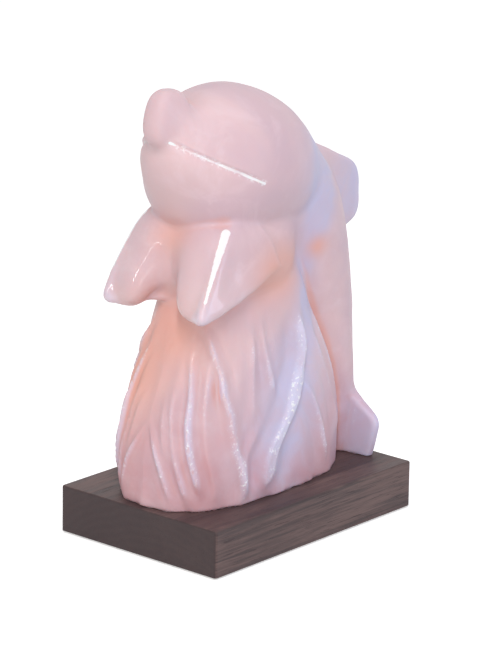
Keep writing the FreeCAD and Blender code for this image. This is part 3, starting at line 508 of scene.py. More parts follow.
@dataclass(frozen=True)
class Trunk:
    """The tail stock and the arched back: level ovals, one over the other.

    Attributes:
        heights: Heights above the foot at which the ovals are given.
        back: Reach of the ovals backwards at each height.
        front: Place of their front ends.
        half: Half width.
        top: Height at which the trunk is cut level, inside the head.
        least: Least slope of its field at the middle.
        lean: How much its field is flattened where the back arches over.
        lean_heights: Heights between which that sets in.
    """

    heights: tuple[float, ...] = (-5.0, 0.0, 37.0, 82.0, 110.0, 130.0, 148.0, 162.0, 176.0, 189.0, 200.0)
    back: tuple[float, ...] = (77.2, 77.3, 79.2, 78.2, 74.4, 70.0, 64.2, 56.5, 43.0, 24.0, 6.0)
    front: tuple[float, ...] = (60.0, 59.8, 54.0, 36.0, 20.0, 10.0, 0.0, -8.0, -14.0, -18.0, -20.0)
    half: tuple[float, ...] = (16.0, 16.5, 20.8, 23.0, 25.5, 27.5, 28.0, 27.5, 28.0, 27.0, 21.0)
    top: float = 198.0
    least: float = 0.012
    lean: float = 0.3
    lean_heights: tuple[float, float] = (120.0, 185.0)

    def distance(self, points: Array) -> Array:
        """How far places lie from the trunk.

        Args:
            points: Places in mm, with x of 0 or more.

        Returns:
            The distances, less than 0 inside.
        """
        z = points[:, 2]
        rear, fore, wide = (np.interp(z, self.heights, row) for row in (self.back, self.front, self.half))
        middle = (rear + fore) / 2.0
        deep = (rear - fore) / 2.0
        along = (points[:, 1] - middle) / deep
        across = points[:, 0] / wide
        near = np.sqrt(along * along + across * across + TINY)
        slope = np.sqrt((along / deep) ** 2 + (across / wide) ** 2) / near
        lean = 1.0 - self.lean * ease(z, *self.lean_heights)
        return np.maximum((near - 1.0) / np.maximum(slope, self.least) * lean, z - self.top)


@dataclass(frozen=True)
class Fillets:
    """Widths in mm over which one form of the figure runs into the next."""

    jaw: float = 16.0
    chin: float = 14.0
    lip: float = 9.0
    snout: float = 5.0
    lobe: float = 4.0
    flipper: float = 12.0
    chest: float = 9.0
    face: float = 2.5
    fin: float = 5.0
    fluke: float = 2.5
    wave: float = 3.0


@dataclass(frozen=True)
class Figure:
    """The carved stone as one distance field, in mm above its foot.

    Attributes:
        head: The forehead's mass; jaw, beak, lip, chin, chest and lobe are those masses.
        flipper: The flippers' blade.
        wave: The folded skirt below.
        trunk: The tail stock and back.
        fillets: How softly all these run together.
        fin: The fin on the back.
        fluke: The flukes of the tail.
        mouth: The line of the mouth.
        eye: The crease of the eye.
        uneven: Height of the skin's slow swelling.
        chipping: Depth of the chips along the foot.
        chip_height: How far up they reach.
        bore_radius: Radius of the bore for the bulb.
        bore_depth: Height at which its cone starts.
        bore_tip: Height of the cone.
        bore_narrowing: Share of the radius that the cone takes away.
        plug_radius: Radius of the holes for the wall plugs.
        plug_depth: Their depth.
        plug_places: Their places on one side.
    """

    head: Mass = Mass(y=-5.0, z=173.0, wide=37.5, long=52.5, deep=36.5, tilt=28.0)
    jaw: Mass = Mass(y=-25.0, z=168.0, wide=33.5, long=35.5, deep=35.0, tilt=10.0)
    beak: Mass = Mass(y=-60.2, z=202.6, wide=8.2, long=12.2, deep=15.2, tilt=9.0, power=2.6)
    lip: Mass = Mass(x=12.0, y=-44.0, z=189.5, wide=9.0, long=26.0, deep=9.0, tilt=35.0, turn=-41.0)
    chin: Mass = Mass(y=-54.0, z=181.0, wide=15.0, long=11.5, deep=15.0)
    chest: Mass = Mass(y=-16.0, z=128.0, wide=32.0, long=38.5, deep=28.0, power=2.7)
    lobe: Mass = Mass(
        x=20.5,
        y=-53.5,
        z=123.5,
        wide=12.0,
        long=24.0,
        deep=8.5,
        tilt=-62.0,
        turn=10.0,
        power=2.4,
    )
    flipper: Flipper = Flipper()
    wave: Wave = Wave()
    trunk: Trunk = Trunk()
    fillets: Fillets = Fillets()
    fin: Slab = Slab(
        sides=(
            (58.0, 169.0, 0.4, 0.91), (93.5, 140.0, 1.0, 0.02), (78.0, 119.6, 0.25, -1.0),
            (45.0, 140.0, -1.0, 0.0),
        ),
        middle=0.0,
        thick=9.0,
        thinning=0.14,
        root=56.0,
        corner=9.0,
        rim=5.0,
    )
    fluke: Slab = Slab(
        sides=((21.1, 33.4, 0.58, 0.815), (37.6, 16.5, 0.967, -0.256)),
        middle=70.5,
        thick=5.2,
        thinning=0.07,
        root=0.0,
        corner=5.0,
        rim=3.0,
    )
    mouth: Crease = Crease(
        line=(
            (7.3, -65.0, 191.9), (15.7, -59.2, 187.8), (24.6, -50.2, 182.0), (32.6, -40.1, 176.4),
            (37.0, -26.0, 169.2),
        ),
        depth=1.0,
        rim=0.8,
        half=1.5,
    )
    eye: Crease = Crease(
        line=(
            (13.6, -55.5, 197.1), (19.7, -50.9, 192.7), (23.9, -45.8, 192.0), (25.2, -41.9, 194.6),
            (28.7, -39.8, 190.7),
        ),
        depth=0.45,
        rim=0.3,
        half=1.6,
    )
    uneven: float = 0.25
    chipping: float = 0.9
    chip_height: float = 3.5
    bore_radius: float = 22.0
    bore_depth: float = 104.0
    bore_tip: float = 9.0
    bore_narrowing: float = 0.75
    plug_radius: float = 4.0
    plug_depth: float = 20.0
    plug_places: tuple[tuple[float, float], ...] = ((19.0, -46.0), (19.0, 40.0))

    def face(self, half: Array) -> Array:
        """How far places lie from the head with its jaw, chin and beak.

        Args:
            half: Places in mm, with x of 0 or more.

        Returns:
            The distances, less than 0 inside.
        """
        joint = self.fillets
        skull = soft_union(self.head.distance(half), self.jaw.distance(half), joint.jaw)
        skull = soft_union(skull, self.chin.distance(half), joint.chin)
        snout = soft_union(self.beak.distance(half), self.lip.distance(half), joint.lip)
        return soft_union(skull, snout, joint.snout)

    def body(self, points: Array) -> Array:
        """How far places lie from the figure as carved, before it is bored.

        Args:
            points: Places in mm, on both sides.

        Returns:
            The distances, less than 0 inside.
        """
        joint = self.fillets
        half = one_side(points)
        near, along, height = half.T
        skirt = self.wave.distance(half) - self.wave.relief(points)
        blade = soft_union(self.flipper.distance(half), self.lobe.distance(half), joint.lobe)
        blade = soft_union(self.chest.distance(half), blade, joint.flipper)
        shape = soft_union(self.trunk.distance(half), blade, joint.chest)
        shape = soft_union(shape, self.face(half), joint.face)
        shape = soft_union(shape, self.fin.distance(along, height, points[:, 0]), joint.fin)
        shape = soft_union(shape, self.fluke.distance(near, height, along), joint.fluke)
        return soft_union(shape, skirt, joint.wave)

    def distance(self, points: Array) -> Array:
        """How far places lie from the finished stone.

        Args:
            points: Places in mm, on both sides.

        Returns:
            The distances, less than 0 inside.
        """
        half = one_side(points)
        z = points[:, 2]
        swelling = ripple(points, 41.0, 0.7) + 0.4 * ripple(points, 15.0, 3.1)
        shape = self.body(points) + self.uneven * swelling
        high = z > self.bore_depth
        shape[high] -= self.mouth.relief(half[high]) + self.eye.relief(half[high])
        chips = np.maximum(ripple(points, 11.0, 5.2) - 0.1, 0.0) * self.chipping
        shape = shape + chips * (1.0 - ease(z, 0.0, self.chip_height))
        radius = np.hypot(points[:, 0], points[:, 1])
        taper = np.maximum(z - self.bore_depth, 0.0)
        taper = taper * (self.bore_radius * self.bore_narrowing / self.bore_tip)
        bore = np.maximum(radius - self.bore_radius + taper, z - self.bore_depth - self.bore_tip)
        shape = np.maximum(shape, -bore)
        for x, y in self.plug_places:
            hole = np.hypot(half[:, 0] - x, points[:, 1] - y) - self.plug_radius
            shape = np.maximum(shape, -np.maximum(hole, z - self.plug_depth))
        return np.maximum(shape, -z)

    def slope(self, points: Array, step: float = 0.12) -> Array:
        """Which way and how fast the distances rise.

        Args:
            points: Places in mm.
            step: How far to each side the distance is taken.

        Returns:
            The gradient, one row a point.
        """
        rows = []
        for axis in range(3):
            aside = np.zeros(3)
            aside[axis] = step
            rows.append(self.distance(points + aside) - self.distance(points - aside))
        return np.stack(rows, axis=1) / (2.0 * step)


@dataclass(frozen=True)
class Net:
    """Turns a distance field into a closed mesh of quads.

    Attributes:
        low: Lowest corner of the grid, in mm.
        high: Its highest corner.
        step: Width of its cells.
        coarse: Cells to one of the rough grid that is filled first.
        band: Reach of the exact distances to each side of the surface, in rough cells.
        passes: How often the points are pulled onto the surface.
        relaxed: Passes before which folded quads are undone.
        pull: Share of the way to the surface that one pass goes.
        half_width: Widest place of the stone, past which no point may lie.
    """

    low: Place = (-43.0, -81.0, -3.0)
    high: Place = (43.0, 95.5, 222.0)
    step: float = 1.24
    coarse: int = 4
    band: float = 1.3
    passes: int = 4
    relaxed: tuple[int, ...] = (1, 2)
    pull: float = 0.9
    half_width: float = 39.6

    def values(self, shape: Figure) -> tuple[Array, Array]:
        """Distances on a grid, exact near the surface only.

        Args:
            shape: The form to sample.

        Returns:
            The grid of distances and the place of its first point.
        """
        low = np.array(self.low)
        count = np.ceil((np.array(self.high) - low) / (self.step * self.coarse)).astype(int)
        axes = [low[i] + np.arange(count[i] + 1) * self.step * self.coarse for i in range(3)]
        rough = np.stack(np.meshgrid(*axes, indexing="ij"), axis=-1).reshape(-1, 3)
        rough_values = shape.distance(rough).reshape(count + 1)
        fine = rough_values
        for axis in range(3):
            size = fine.shape[axis]
            places = np.arange((size - 1) * self.coarse + 1) / self.coarse
            before = np.minimum(places.astype(int), size - 2)
            share = places - before
            shaped = [1, 1, 1]
            shaped[axis] = -1
            share = share.reshape(shaped)
            fine = np.take(fine, before, axis) * (1 - share) + np.take(fine, before + 1, axis) * share
        close = np.abs(fine) < self.step * self.coarse * self.band
        fine[close] = shape.distance(low + np.argwhere(close) * self.step)
        return fine, low

    @staticmethod
    def relax(points: Array, faces: Array) -> Array:
        """Moves each point half way to the middle of its neighbours, which undoes folded quads.

        Args:
            points: The points in mm.
            faces: The quads as rows of point numbers.

        Returns:
            The moved points.
        """
        ends = np.concatenate([faces, np.roll(faces, -1, axis=1)]).ravel()
        others = np.concatenate([np.roll(faces, -1, axis=1), faces]).ravel()
        count = np.maximum(np.bincount(ends, minlength=len(points)), 1)
        sums = [np.bincount(ends, points[others, axis], len(points)) for axis in range(3)]
        return 0.5 * points + 0.5 * np.stack(sums, axis=1) / count[:, None]

    def mesh(self, shape: Figure) -> tuple[Array, Array]:
        """Meshes a form and pulls every point onto its surface.

        Args:
            shape: The form to mesh.

        Returns:
            The points in mm and the quads as rows of point numbers.
        """
        values, low = self.values(shape)
        inside = values < 0.0
        cells = tuple(size - 1 for size in values.shape)
        corners = [(i, j, k) for i in (0, 1) for j in (0, 1) for k in (0, 1)]

        def corner(grid: Array, at: tuple[int, int, int]) -> Array:
            """The grid as seen from one corner of each cell."""
            return grid[tuple(slice(a, a + n) for a, n in zip(at, cells))]

        filled = sum(corner(inside, at).astype(np.int8) for at in corners)
        active = (filled > 0) & (filled < 8)
        number = np.full(cells, -1, np.int64)
        number[active] = np.arange(int(active.sum()))
        place = np.zeros((int(active.sum()), 3))
        count = np.zeros(len(place))
        for first in corners:
            for axis in range(3):
                if first[axis]:
                    continue
                second = tuple(1 if i == axis else first[i] for i in range(3))
                here, there = corner(values, first)[active], corner(values, second)[active]
                crossed = (here < 0) != (there < 0)
                share = here[crossed] / (here[crossed] - there[crossed])
                at = np.tile(np.array(first, float), (int(crossed.sum()), 1))
                at[:, axis] += share
                place[crossed] += at
                count[crossed] += 1
        points = low + (np.argwhere(active) + place / count[:, None]) * self.step
        quads = []
        for axis in range(3):
            second, third = (axis + 1) % 3, (axis + 2) % 3
            low_end = [slice(1, n - 1) for n in values.shape]
            high_end = list(low_end)
            low_end[axis], high_end[axis] = slice(0, -1), slice(1, None)
            here, there = inside[tuple(low_end)], inside[tuple(high_end)]
            for wanted, turned in ((here & ~there, False), (~here & there, True)):
                at = np.argwhere(wanted)
                at[:, second] += 1
                at[:, third] += 1
                ring = []
                for back_second, back_third in ((1, 1), (0, 1), (0, 0), (1, 0)):
                    cell = at.copy()
                    cell[:, second] -= back_second
                    cell[:, third] -= back_third
                    ring.append(number[tuple(cell.T)])
                quad = np.stack(ring, axis=1)
                quads.append(quad[:, ::-1] if turned else quad)
        faces = np.concatenate(quads)
        least = 0.2
        for turn in range(self.passes):
            if turn in self.relaxed:
                points = self.relax(points, faces)
            gap = shape.distance(points)
            way = shape.slope(points)
            size = np.maximum((way * way).sum(axis=1), least)
            points = points - np.clip(gap / size, -self.step, self.step)[:, None] * way * self.pull
        points[:, 2] = np.maximum(points[:, 2], 0.0)
        points[:, 0] = np.clip(points[:, 0], -self.half_width, self.half_width)
        return points, faces


# ------------------------------------------------------------------ node building
@dataclass(frozen=True)
class Port:
    """A node's output that takes part in sums. Numbers and ports may be mixed."""

    graph: Graph
    socket: bpy.types.NodeSocket

    def __add__(self, other: Port | float) -> Port:
        """Sum."""
        return self.graph.maths("ADD", self, other)

    __radd__ = __add__

    def __mul__(self, other: Port | float) -> Port:
        """Product."""
        return self.graph.maths("MULTIPLY", self, other)

    __rmul__ = __mul__

    def __sub__(self, other: Port | float) -> Port:
        """Difference."""
        return self.graph.maths("SUBTRACT", self, other)

    def __rsub__(self, other: float) -> Port:
        """Difference from a number."""
        return self.graph.maths("SUBTRACT", other, self)

    def __truediv__(self, other: Port | float) -> Port:
        """Quotient."""
        return self.graph.maths("DIVIDE", self, other)

    def __pow__(self, other: float) -> Port:
        """Power."""
        return self.graph.maths("POWER", self, other)

    def other(self, name: str) -> Port:
        """Another output of the same node."""
        return Port(self.graph, self.socket.node.outputs[name])


@dataclass(frozen=True)
class Graph:
    """Adds nodes to a material, a world or a geometry tree."""

    tree: bpy.types.NodeTree

    def add(
        self,
        kind: str,
        settings: dict[str, object] | None = None,
        inputs: dict[str | int, object] | None = None,
        output: int | str = 0,
    ) -> Port:
        """Adds one node.

        Args:
            kind: The node's type name.
            settings: Its settings, put in before its sockets are filled.
            inputs: Values or ports for its sockets, by name or number.
            output: The output that is handed back.

        Returns:
            That output.
        """
        node = self.tree.nodes.new(kind)
        for name, value in (settings or {}).items():
            setattr(node, name, value)
        for name, value in (inputs or {}).items():
            if isinstance(value, Port):
                self.tree.links.new(value.socket, node.inputs[name])
            else:
                node.inputs[name].default_value = value
        return Port(self, node.outputs[output]) if node.outputs else Port(self, None)

    def maths(self, operation: str, first: Port | float, second: Port | float = 0.0) -> Port:
        """One sum on values."""
        return self.add("ShaderNodeMath", {"operation": operation}, {0: first, 1: second})

    def vector(self, operation: str, first: object, second: object) -> Port:
        """One sum on vectors."""
        return self.add("ShaderNodeVectorMath", {"operation": operation}, {0: first, 1: second})

    def blend(self, share: Port | float, first: object, second: object) -> Port:
        """Mixes two colours, which are the node's sockets 6 and 7; output 2 is their mixture."""
        settings = {"data_type": "RGBA", "blend_type": "MIX", "clamp_factor": True}
        return self.add("ShaderNodeMix", settings, {0: share, 6: first, 7: second}, 2)

    def ramp(self, value: Port, low: float, high: float, start: float = 0.0, end: float = 1.0) -> Port:
        """Runs smoothly from start to end while the value goes from low to high."""
        inputs = {0: value, 1: low, 2: high, 3: start, 4: end}
        return self.add("ShaderNodeMapRange", {"interpolation_type": "SMOOTHSTEP"}, inputs)

    def split(self, where: Port) -> tuple[Port, Port, Port]:
        """The three parts of a place."""
        parts = self.add("ShaderNodeSeparateXYZ", None, {0: where})
        return parts, parts.other("Y"), parts.other("Z")

    def join(self, x: Port | float, y: Port | float, z: Port | float) -> Port:
        """A place from its three parts."""
        return self.add("ShaderNodeCombineXYZ", None, {0: x, 1: y, 2: z})

    def background_rays(self) -> Port:
        """1 for the rays that show the background: straight, mirrored and through glass.

        Returns:
            That share; it is 0 for the rays that carry light from the background.
        """
        path = self.add("ShaderNodeLightPath", output="Is Camera Ray")
        shown = self.maths("MAXIMUM", path, path.other("Is Glossy Ray"))
        return self.maths("MAXIMUM", shown, path.other("Is Transmission Ray"))

    def place(self, scale: Place = (1.0, 1.0, 1.0)) -> Port:
        """Places on the piece in metres, stretched."""
        where = self.add("ShaderNodeTexCoord", output="Object")
        return self.add("ShaderNodeMapping", None, {"Vector": where, "Scale": scale})

    def noise(
        self, where: Port, scale: float, detail: float = 3.0, rough: float = 0.5, bend: float = 0.0
    ) -> Port:
        """Cloudy noise from 0 to 1."""
        inputs = {"Vector": where, "Scale": scale, "Detail": detail, "Roughness": rough, "Distortion": bend}
        return self.add("ShaderNodeTexNoise", None, inputs)

    def cells(self, where: Port, scale: float) -> Port:
        """Distance to the middle of the nearest grain."""
        return self.add("ShaderNodeTexVoronoi", None, {"Vector": where, "Scale": scale})

    def line(self, where: Port, start: Array, end: Array) -> Port:
        """Distance from a place to the straight line between two others.

        Args:
            where: The place.
            start: One end of the line.
            end: The other end.

        Returns:
            The distance.
        """
        way = end - start
        gap = self.vector("SUBTRACT", where, tuple(start))
        product = {"operation": "DOT_PRODUCT"}
        along = self.add("ShaderNodeVectorMath", product, {0: gap, 1: tuple(way)}, "Value")
        clamped = {"operation": "DIVIDE", "use_clamp": True}
        share = self.add("ShaderNodeMath", clamped, {0: along, 1: float(way @ way)})
        rest = self.vector("SUBTRACT", gap, self.vector("MULTIPLY", share, tuple(way)))
        return self.add("ShaderNodeVectorMath", {"operation": "LENGTH"}, {0: rest}, "Value")

    def measure(self, name: str) -> Port:
        """A number stored on the mesh's points."""
        return self.add("ShaderNodeAttribute", {"attribute_name": name}, output="Fac")


def flat(colour: Colour) -> tuple[float, float, float, float]:
    """A colour with full alpha."""
    return (*colour, 1.0)


def start_material(name: str) -> tuple[bpy.types.Material, Graph]:
    """Makes an empty material.

    Args:
        name: Its name.

    Returns:
        The material and the graph to fill it with.
    """
    made = bpy.data.materials.new(name)
    made.use_nodes = True
    made.node_tree.nodes.clear()
    return made, Graph(made.node_tree)


def surface(graph: Graph, inputs: dict[str, object], relief: Port, height: float) -> None:
    """Ends a material in one shader.

    Args:
        graph: The material's graph.
        inputs: Values and ports for the shader's sockets.
        relief: Height from 0 to 1 for its small relief.
        height: How high a relief of 1 stands, in metres.
    """
    bump = {"Height": relief, "Distance": height, "Strength": 1.0}
    inputs = {**inputs, "Normal": graph.add("ShaderNodeBump", None, bump)}
    shader = graph.add("ShaderNodeBsdfPrincipled", None, inputs)
    graph.add("ShaderNodeOutputMaterial", None, {"Surface": shader})


# ------------------------------------------------------------------ finishes
@dataclass(frozen=True)
class SaltFinish:
    """Polished rock salt: cloudy pink, with peach painted as shade in the hollows and under the flippers,
    milky blue painted as light shining through where it is thin, a bluish painted cool light, and painted
    white highlights.

    Attributes:
        pink: Colour of the plain stone.
        pale: Colour of its veins.
        rose: Colour towards the foot.
        peach: Colour of the painted shade under and between the flippers and in the hollows.
        milk: Colour painted where the stone is thin, as light shining through it, and on the folds' ridges,
            as a painted highlight.
        mauve: Colour of its broad clouds.
        blue: Colour of the painted cool light.
        white: Colour of the painted glints and of the painted highlights along the flippers' ridge and the
            mouth.
        ridge_line: Front ridge of a flipper, in mm above the stone's foot.
        painted_highlight_width: Half width in mm of the painted highlight along it, at the tip and the
            shoulder.
        cloud: Fineness of the clouds, as a noise's scale.
        vein: Fineness of the veins.
        speck: Fineness of the painted glints.
        grain: Fineness of the skin.
        crystal: Fineness of the crystals.
        swell: Fineness of the polish's waviness.
        relief: Height of a relief of 1, in metres.
    """

    pink: Colour = (0.755, 0.545, 0.57)
    pale: Colour = (0.82, 0.64, 0.69)
    rose: Colour = (0.64, 0.33, 0.36)
    peach: Colour = (0.81, 0.42, 0.34)
    milk: Colour = (0.74, 0.71, 0.89)
    mauve: Colour = (0.64, 0.46, 0.53)
    blue: Colour = (0.56, 0.55, 0.76)
    white: Colour = (0.97, 0.97, 1.0)
    ridge_line: Line = ((27.9, -44.6, 145.4), (31.0, -55.5, 131.3), (33.2, -66.0, 114.0))
    painted_highlight_width: tuple[float, float] = (0.5, 1.9)
    cloud: float = 13.0
    vein: float = 34.0
    speck: float = 520.0
    grain: float = 900.0
    crystal: float = 420.0
    swell: float = 90.0
    relief: float = 0.00014

    def near_line(self, graph: Graph, corners: Line) -> Port:
        """Distance to a line on the stone, the same on both sides.

        Args:
            graph: The material's graph.
            corners: The line's corners, in mm above the stone's foot.

        Returns:
            The distance in mm.
        """
        x, y, z = graph.split(graph.place())
        where = graph.join(graph.maths("ABSOLUTE", x), y, z)
        places = (np.array(corners) + (0.0, 0.0, FOOT)) * MM
        gaps = [graph.line(where, start, end) for start, end in zip(places[:-1], places[1:])]
        nearest = gaps[0]
        for gap in gaps[1:]:
            nearest = graph.maths("MINIMUM", nearest, gap)
        return nearest / MM

    def painted_ridge_highlight(self, graph: Graph, jitter: Port) -> Port:
        """Where a white highlight is painted along the flippers' front ridge, standing for a reflection off a
        polished facet, narrower to the tip.

        Args:
            graph: The material's graph.
            jitter: How far its rim strays, in mm.

        Returns:
            1 on the painted highlight and 0 off it.
        """
        _, _, height = graph.split(graph.place())
        ends = [(corner[2] + FOOT) * MM for corner in self.ridge_line]
        width = graph.ramp(height, min(ends), max(ends), *self.painted_highlight_width)
        return graph.ramp(self.near_line(graph, self.ridge_line) + jitter - width, 0.0, 0.5, 1.0, 0.0)

    def colours(self, graph: Graph, clouds: Port, veins: Port, ridge: Port) -> Port:
        """The salt's colour: cloudy pink, with painted shade, painted cool light and painted light through
        thin stone, by what was measured.

        Args:
            graph: The material's graph.
            clouds: Broad noise.
            veins: Finer noise.
            ridge: How far up a fold's ridge a place lies.

        Returns:
            The colour, without its painted white glints and highlights.
        """
        names = ("hollow", "thin", "low", "painted_shade", "painted_cool_light")
        hollow, thin, low, painted_shade, painted_cool_light = (graph.measure(name) for name in names)
        body = graph.blend(graph.ramp(clouds, 0.36, 0.62) * 0.8, flat(self.pink), flat(self.mauve))
        body = graph.blend(graph.ramp(veins, 0.46, 0.74) * 0.45, body, flat(self.pale))
        body = graph.blend(low * graph.ramp(veins, 0.3, 0.65, 0.9, 0.45), body, flat(self.rose))
        # painted light: a bluish tint where a cool lamp falls, on the right side and the back
        body = graph.blend(painted_cool_light * graph.ramp(veins, 0.25, 0.65, 0.5, 0.9), body, flat(self.blue))
        # painted shade: peach under and between the flippers
        body = graph.blend(painted_shade * graph.ramp(clouds, 0.3, 0.7, 0.95, 0.6), body, flat(self.peach))
        # painted shade: peach in the hollows
        body = graph.blend(graph.ramp(hollow, 0.25, 0.85) * 0.5, body, flat(self.peach))
        # painted light: milky blue where light shines through thin stone
        body = graph.blend(graph.ramp(thin, 0.25, 0.9) * 0.5, body, flat(self.milk))
        # painted highlight: the folds' ridges paled towards milk, bluer where the painted cool light is
        return graph.blend(ridge * (0.3 + 0.45 * painted_cool_light), body, flat(self.milk))

    def build(self) -> bpy.types.Material:
        """Makes the material.

        Returns:
            The material of the stone.
        """
        made, graph = start_material("rock_salt")
        where = graph.place()
        clouds = graph.noise(where, self.cloud, 3.0, 0.5, 0.5)
        veins = graph.noise(where, self.vein, 5.0, 0.6, 1.0)
        specks = graph.noise(where, self.speck, 3.0, 0.65)
        ridge, gloss = graph.measure("ridge"), graph.measure("gloss")
        mouth = self.near_line(graph, Figure().mouth.line) + (specks - 0.5) * 0.5
        # painted highlight: a white streak along each flipper's front ridge
        painted_ridge_highlight = self.painted_ridge_highlight(graph, (specks - 0.5) * 1.2)
        streaks = ridge * graph.ramp(veins, 0.35, 0.6, 0.3, 1.0)
        # painted glints: white sparkles on the folds' ridges
        painted_glints = graph.ramp(specks, 0.55, 0.66) * streaks
        # painted highlight: a white line along the mouth, with painted glints just below it
        line = graph.ramp(mouth, 0.5, 1.0, 1.0, 0.0) * graph.ramp(veins, 0.3, 0.6, 0.5, 1.0)
        beside = graph.ramp(mouth, 0.8, 2.4, 1.0, 0.0) * graph.ramp(specks, 0.5, 0.6)
        body = self.colours(graph, clouds, veins, streaks)
        # paints the glints and highlights white into the colour
        for share in (painted_glints * 0.85, graph.maths("MAXIMUM", line, beside * 0.5), painted_ridge_highlight * 0.85):
            body = graph.blend(share, body, flat(self.white))
        grain = graph.noise(where, self.grain, 2.0, 0.6)
        rough = 0.44 - 0.2 * graph.maths("MAXIMUM", gloss, painted_ridge_highlight)
        rough = rough + 0.12 * graph.ramp(veins, 0.35, 0.7) + 0.08 * grain + 0.2 * painted_glints
        crystals = graph.cells(where, self.crystal) * (0.15 + streaks * 1.4 + beside * 0.8)
        relief = grain * 0.3 + crystals + graph.noise(where, self.swell, 3.0) * 0.7
        inputs = {
            "Base Color": body,
            "Roughness": rough,
            "Subsurface Weight": 0.35,
            "Subsurface Radius": (1.0, 0.55, 0.45),
            "Subsurface Scale": 0.0045,
            "Coat Weight": 0.05 + 0.9 * gloss + 0.3 * streaks,
            "Coat Roughness": 0.07,
            "IOR": 1.45,
        }
        surface(graph, inputs, relief, self.relief)
        return made


@dataclass(frozen=True)
class WalnutFinish:
    """Oiled walnut with its grain along the block.

    Attributes:
        dark: Colour of the pores, the late wood and the rim of the ends.
        middle: Colour of the plain wood.
        light: Colour of its pale streaks.
        pith: Place of the rings' middle, across the block and up, in metres.
        ring: Width of a ring.
        ends: Where the block ends along the lamp.
    """

    dark: Colour = (0.042, 0.026, 0.028)
    middle: Colour = (0.125, 0.076, 0.072)
    light: Colour = (0.17, 0.108, 0.1)
    pith: tuple[float, float] = (0.018, -0.075)
    ring: float = 0.0042
    ends: tuple[float, float] = (-0.079, 0.079)

    def build(self) -> bpy.types.Material:
        """Makes the material: rings about a pith below the block, with streaks and pores.

        Returns:
            The material of the base.
        """
        made, graph = start_material(Slot.WALNUT.value)
        sway = graph.noise(graph.place((1.0, 0.25, 1.0)), 22.0, 2.0, 0.5)
        across, along, up = graph.split(graph.place())
        across, up = across - self.pith[0], up - self.pith[1]
        radius = graph.maths("SQRT", across * across + up * up) + sway * 0.011
        rings = graph.maths("SINE", radius * (2.0 * math.pi / self.ring)) * 0.5 + 0.5
        streaks = graph.noise(graph.place((0.45, 0.035, 1.0)), 620.0, 5.0, 0.7, 0.3)
        broad = graph.noise(graph.place((1.0, 0.12, 1.0)), 40.0, 3.0, 0.55, 0.6)
        pores = graph.noise(graph.place((1.0, 0.035, 1.0)), 1500.0, 2.0, 0.6)
        tone = graph.ramp(rings * 0.14 + streaks * 0.8 + broad * 0.4, 0.4, 0.95)
        body = graph.blend(tone, flat(self.dark), flat(self.middle))
        body = graph.blend(graph.ramp(streaks * 0.6 + broad * 0.5, 0.52, 0.72) * 0.75, body, flat(self.light))
        dots = graph.ramp(pores, 0.57, 0.68)
        body = graph.blend(dots * 0.65, body, flat(self.dark))
        to_end = graph.maths("MINIMUM", along - self.ends[0], self.ends[1] - along)
        body = graph.blend(graph.ramp(to_end, 0.0002, 0.0007, 0.85, 0.0), body, flat(self.dark))
        rough = 0.42 + 0.16 * graph.ramp(streaks, 0.3, 0.7) + 0.15 * dots
        inputs = {"Base Color": body, "Roughness": rough, "Specular IOR Level": 0.35}
        surface(graph, inputs, streaks - dots, 0.00007)
        return made


@dataclass(frozen=True)
class FeltFinish:
    """Pressed felt with short fibres."""

    base: Colour = (0.035, 0.03, 0.03)
    fibre: Colour = (0.11, 0.1, 0.1)

    def build(self) -> bpy.types.Material:
        """Makes the material.

        Returns:
            The material of the sheet.
        """
        made, graph = start_material(Slot.FELT.value)
        where = graph.place()
        fibres = graph.noise(where, 1900.0, 4.0, 0.75, 2.5)
        patches = graph.noise(where, 120.0, 3.0)
        body = graph.blend(graph.ramp(fibres, 0.4, 0.72), flat(self.base), flat(self.fibre))
        body = graph.blend(graph.ramp(patches, 0.4, 0.7) * 0.3, body, flat(self.base))
        surface(graph, {"Base Color": body, "Roughness": 0.95, "Sheen Weight": 0.4}, fibres, 0.0003)
        return made


@dataclass(frozen=True)
class PlasticFinish:
    """Moulded plastic with a fine spark-eroded skin."""

    slot: Slot
    colour: Colour
    rough: float = 0.42
    skin: float = 2600.0
    clear: float = 0.0

    def build(self) -> bpy.types.Material:
        """Makes the material.

        Returns:
            The material of that slot.
        """
        made, graph = start_material(self.slot.value)
        where = graph.place()
        skin = graph.noise(where, self.skin, 2.0, 0.6)
        scuffs = graph.noise(where, 160.0, 4.0, 0.7, 1.5)
        worn = graph.ramp(scuffs, 0.55, 0.78)
        paler = tuple(min(1.0, part * 1.3 + 0.015) for part in self.colour)
        body = graph.blend(worn * 0.5, flat(self.colour), flat(paler))
        rough = self.rough + 0.12 * worn + 0.08 * skin
        surface(graph, {"Base Color": body, "Roughness": rough, "Coat Weight": self.clear}, skin, 0.00003)
        return made


@dataclass(frozen=True)
class MetalFinish:
    """Metal with rolling marks and a little tarnish."""

    slot: Slot
    colour: Colour
    tarnish: Colour
    rough: float = 0.28
    marks: Place = (1.0, 1.0, 9.0)

    def build(self) -> bpy.types.Material:
        """Makes the material.

        Returns:
            The material of that slot.
        """
        made, graph = start_material(self.slot.value)
        marks = graph.noise(graph.place(self.marks), 700.0, 3.0, 0.6)
        spots = graph.noise(graph.place(), 210.0, 4.0, 0.65, 0.8)
        dull = graph.ramp(spots, 0.52, 0.76)
        body = graph.blend(dull * 0.7, flat(self.colour), flat(self.tarnish))
        rough = self.rough + 0.2 * dull + 0.12 * marks
        inputs = {"Base Color": body, "Roughness": rough, "Metallic": 1.0 - 0.15 * dull}
        surface(graph, inputs, marks, 0.000012)
        return made


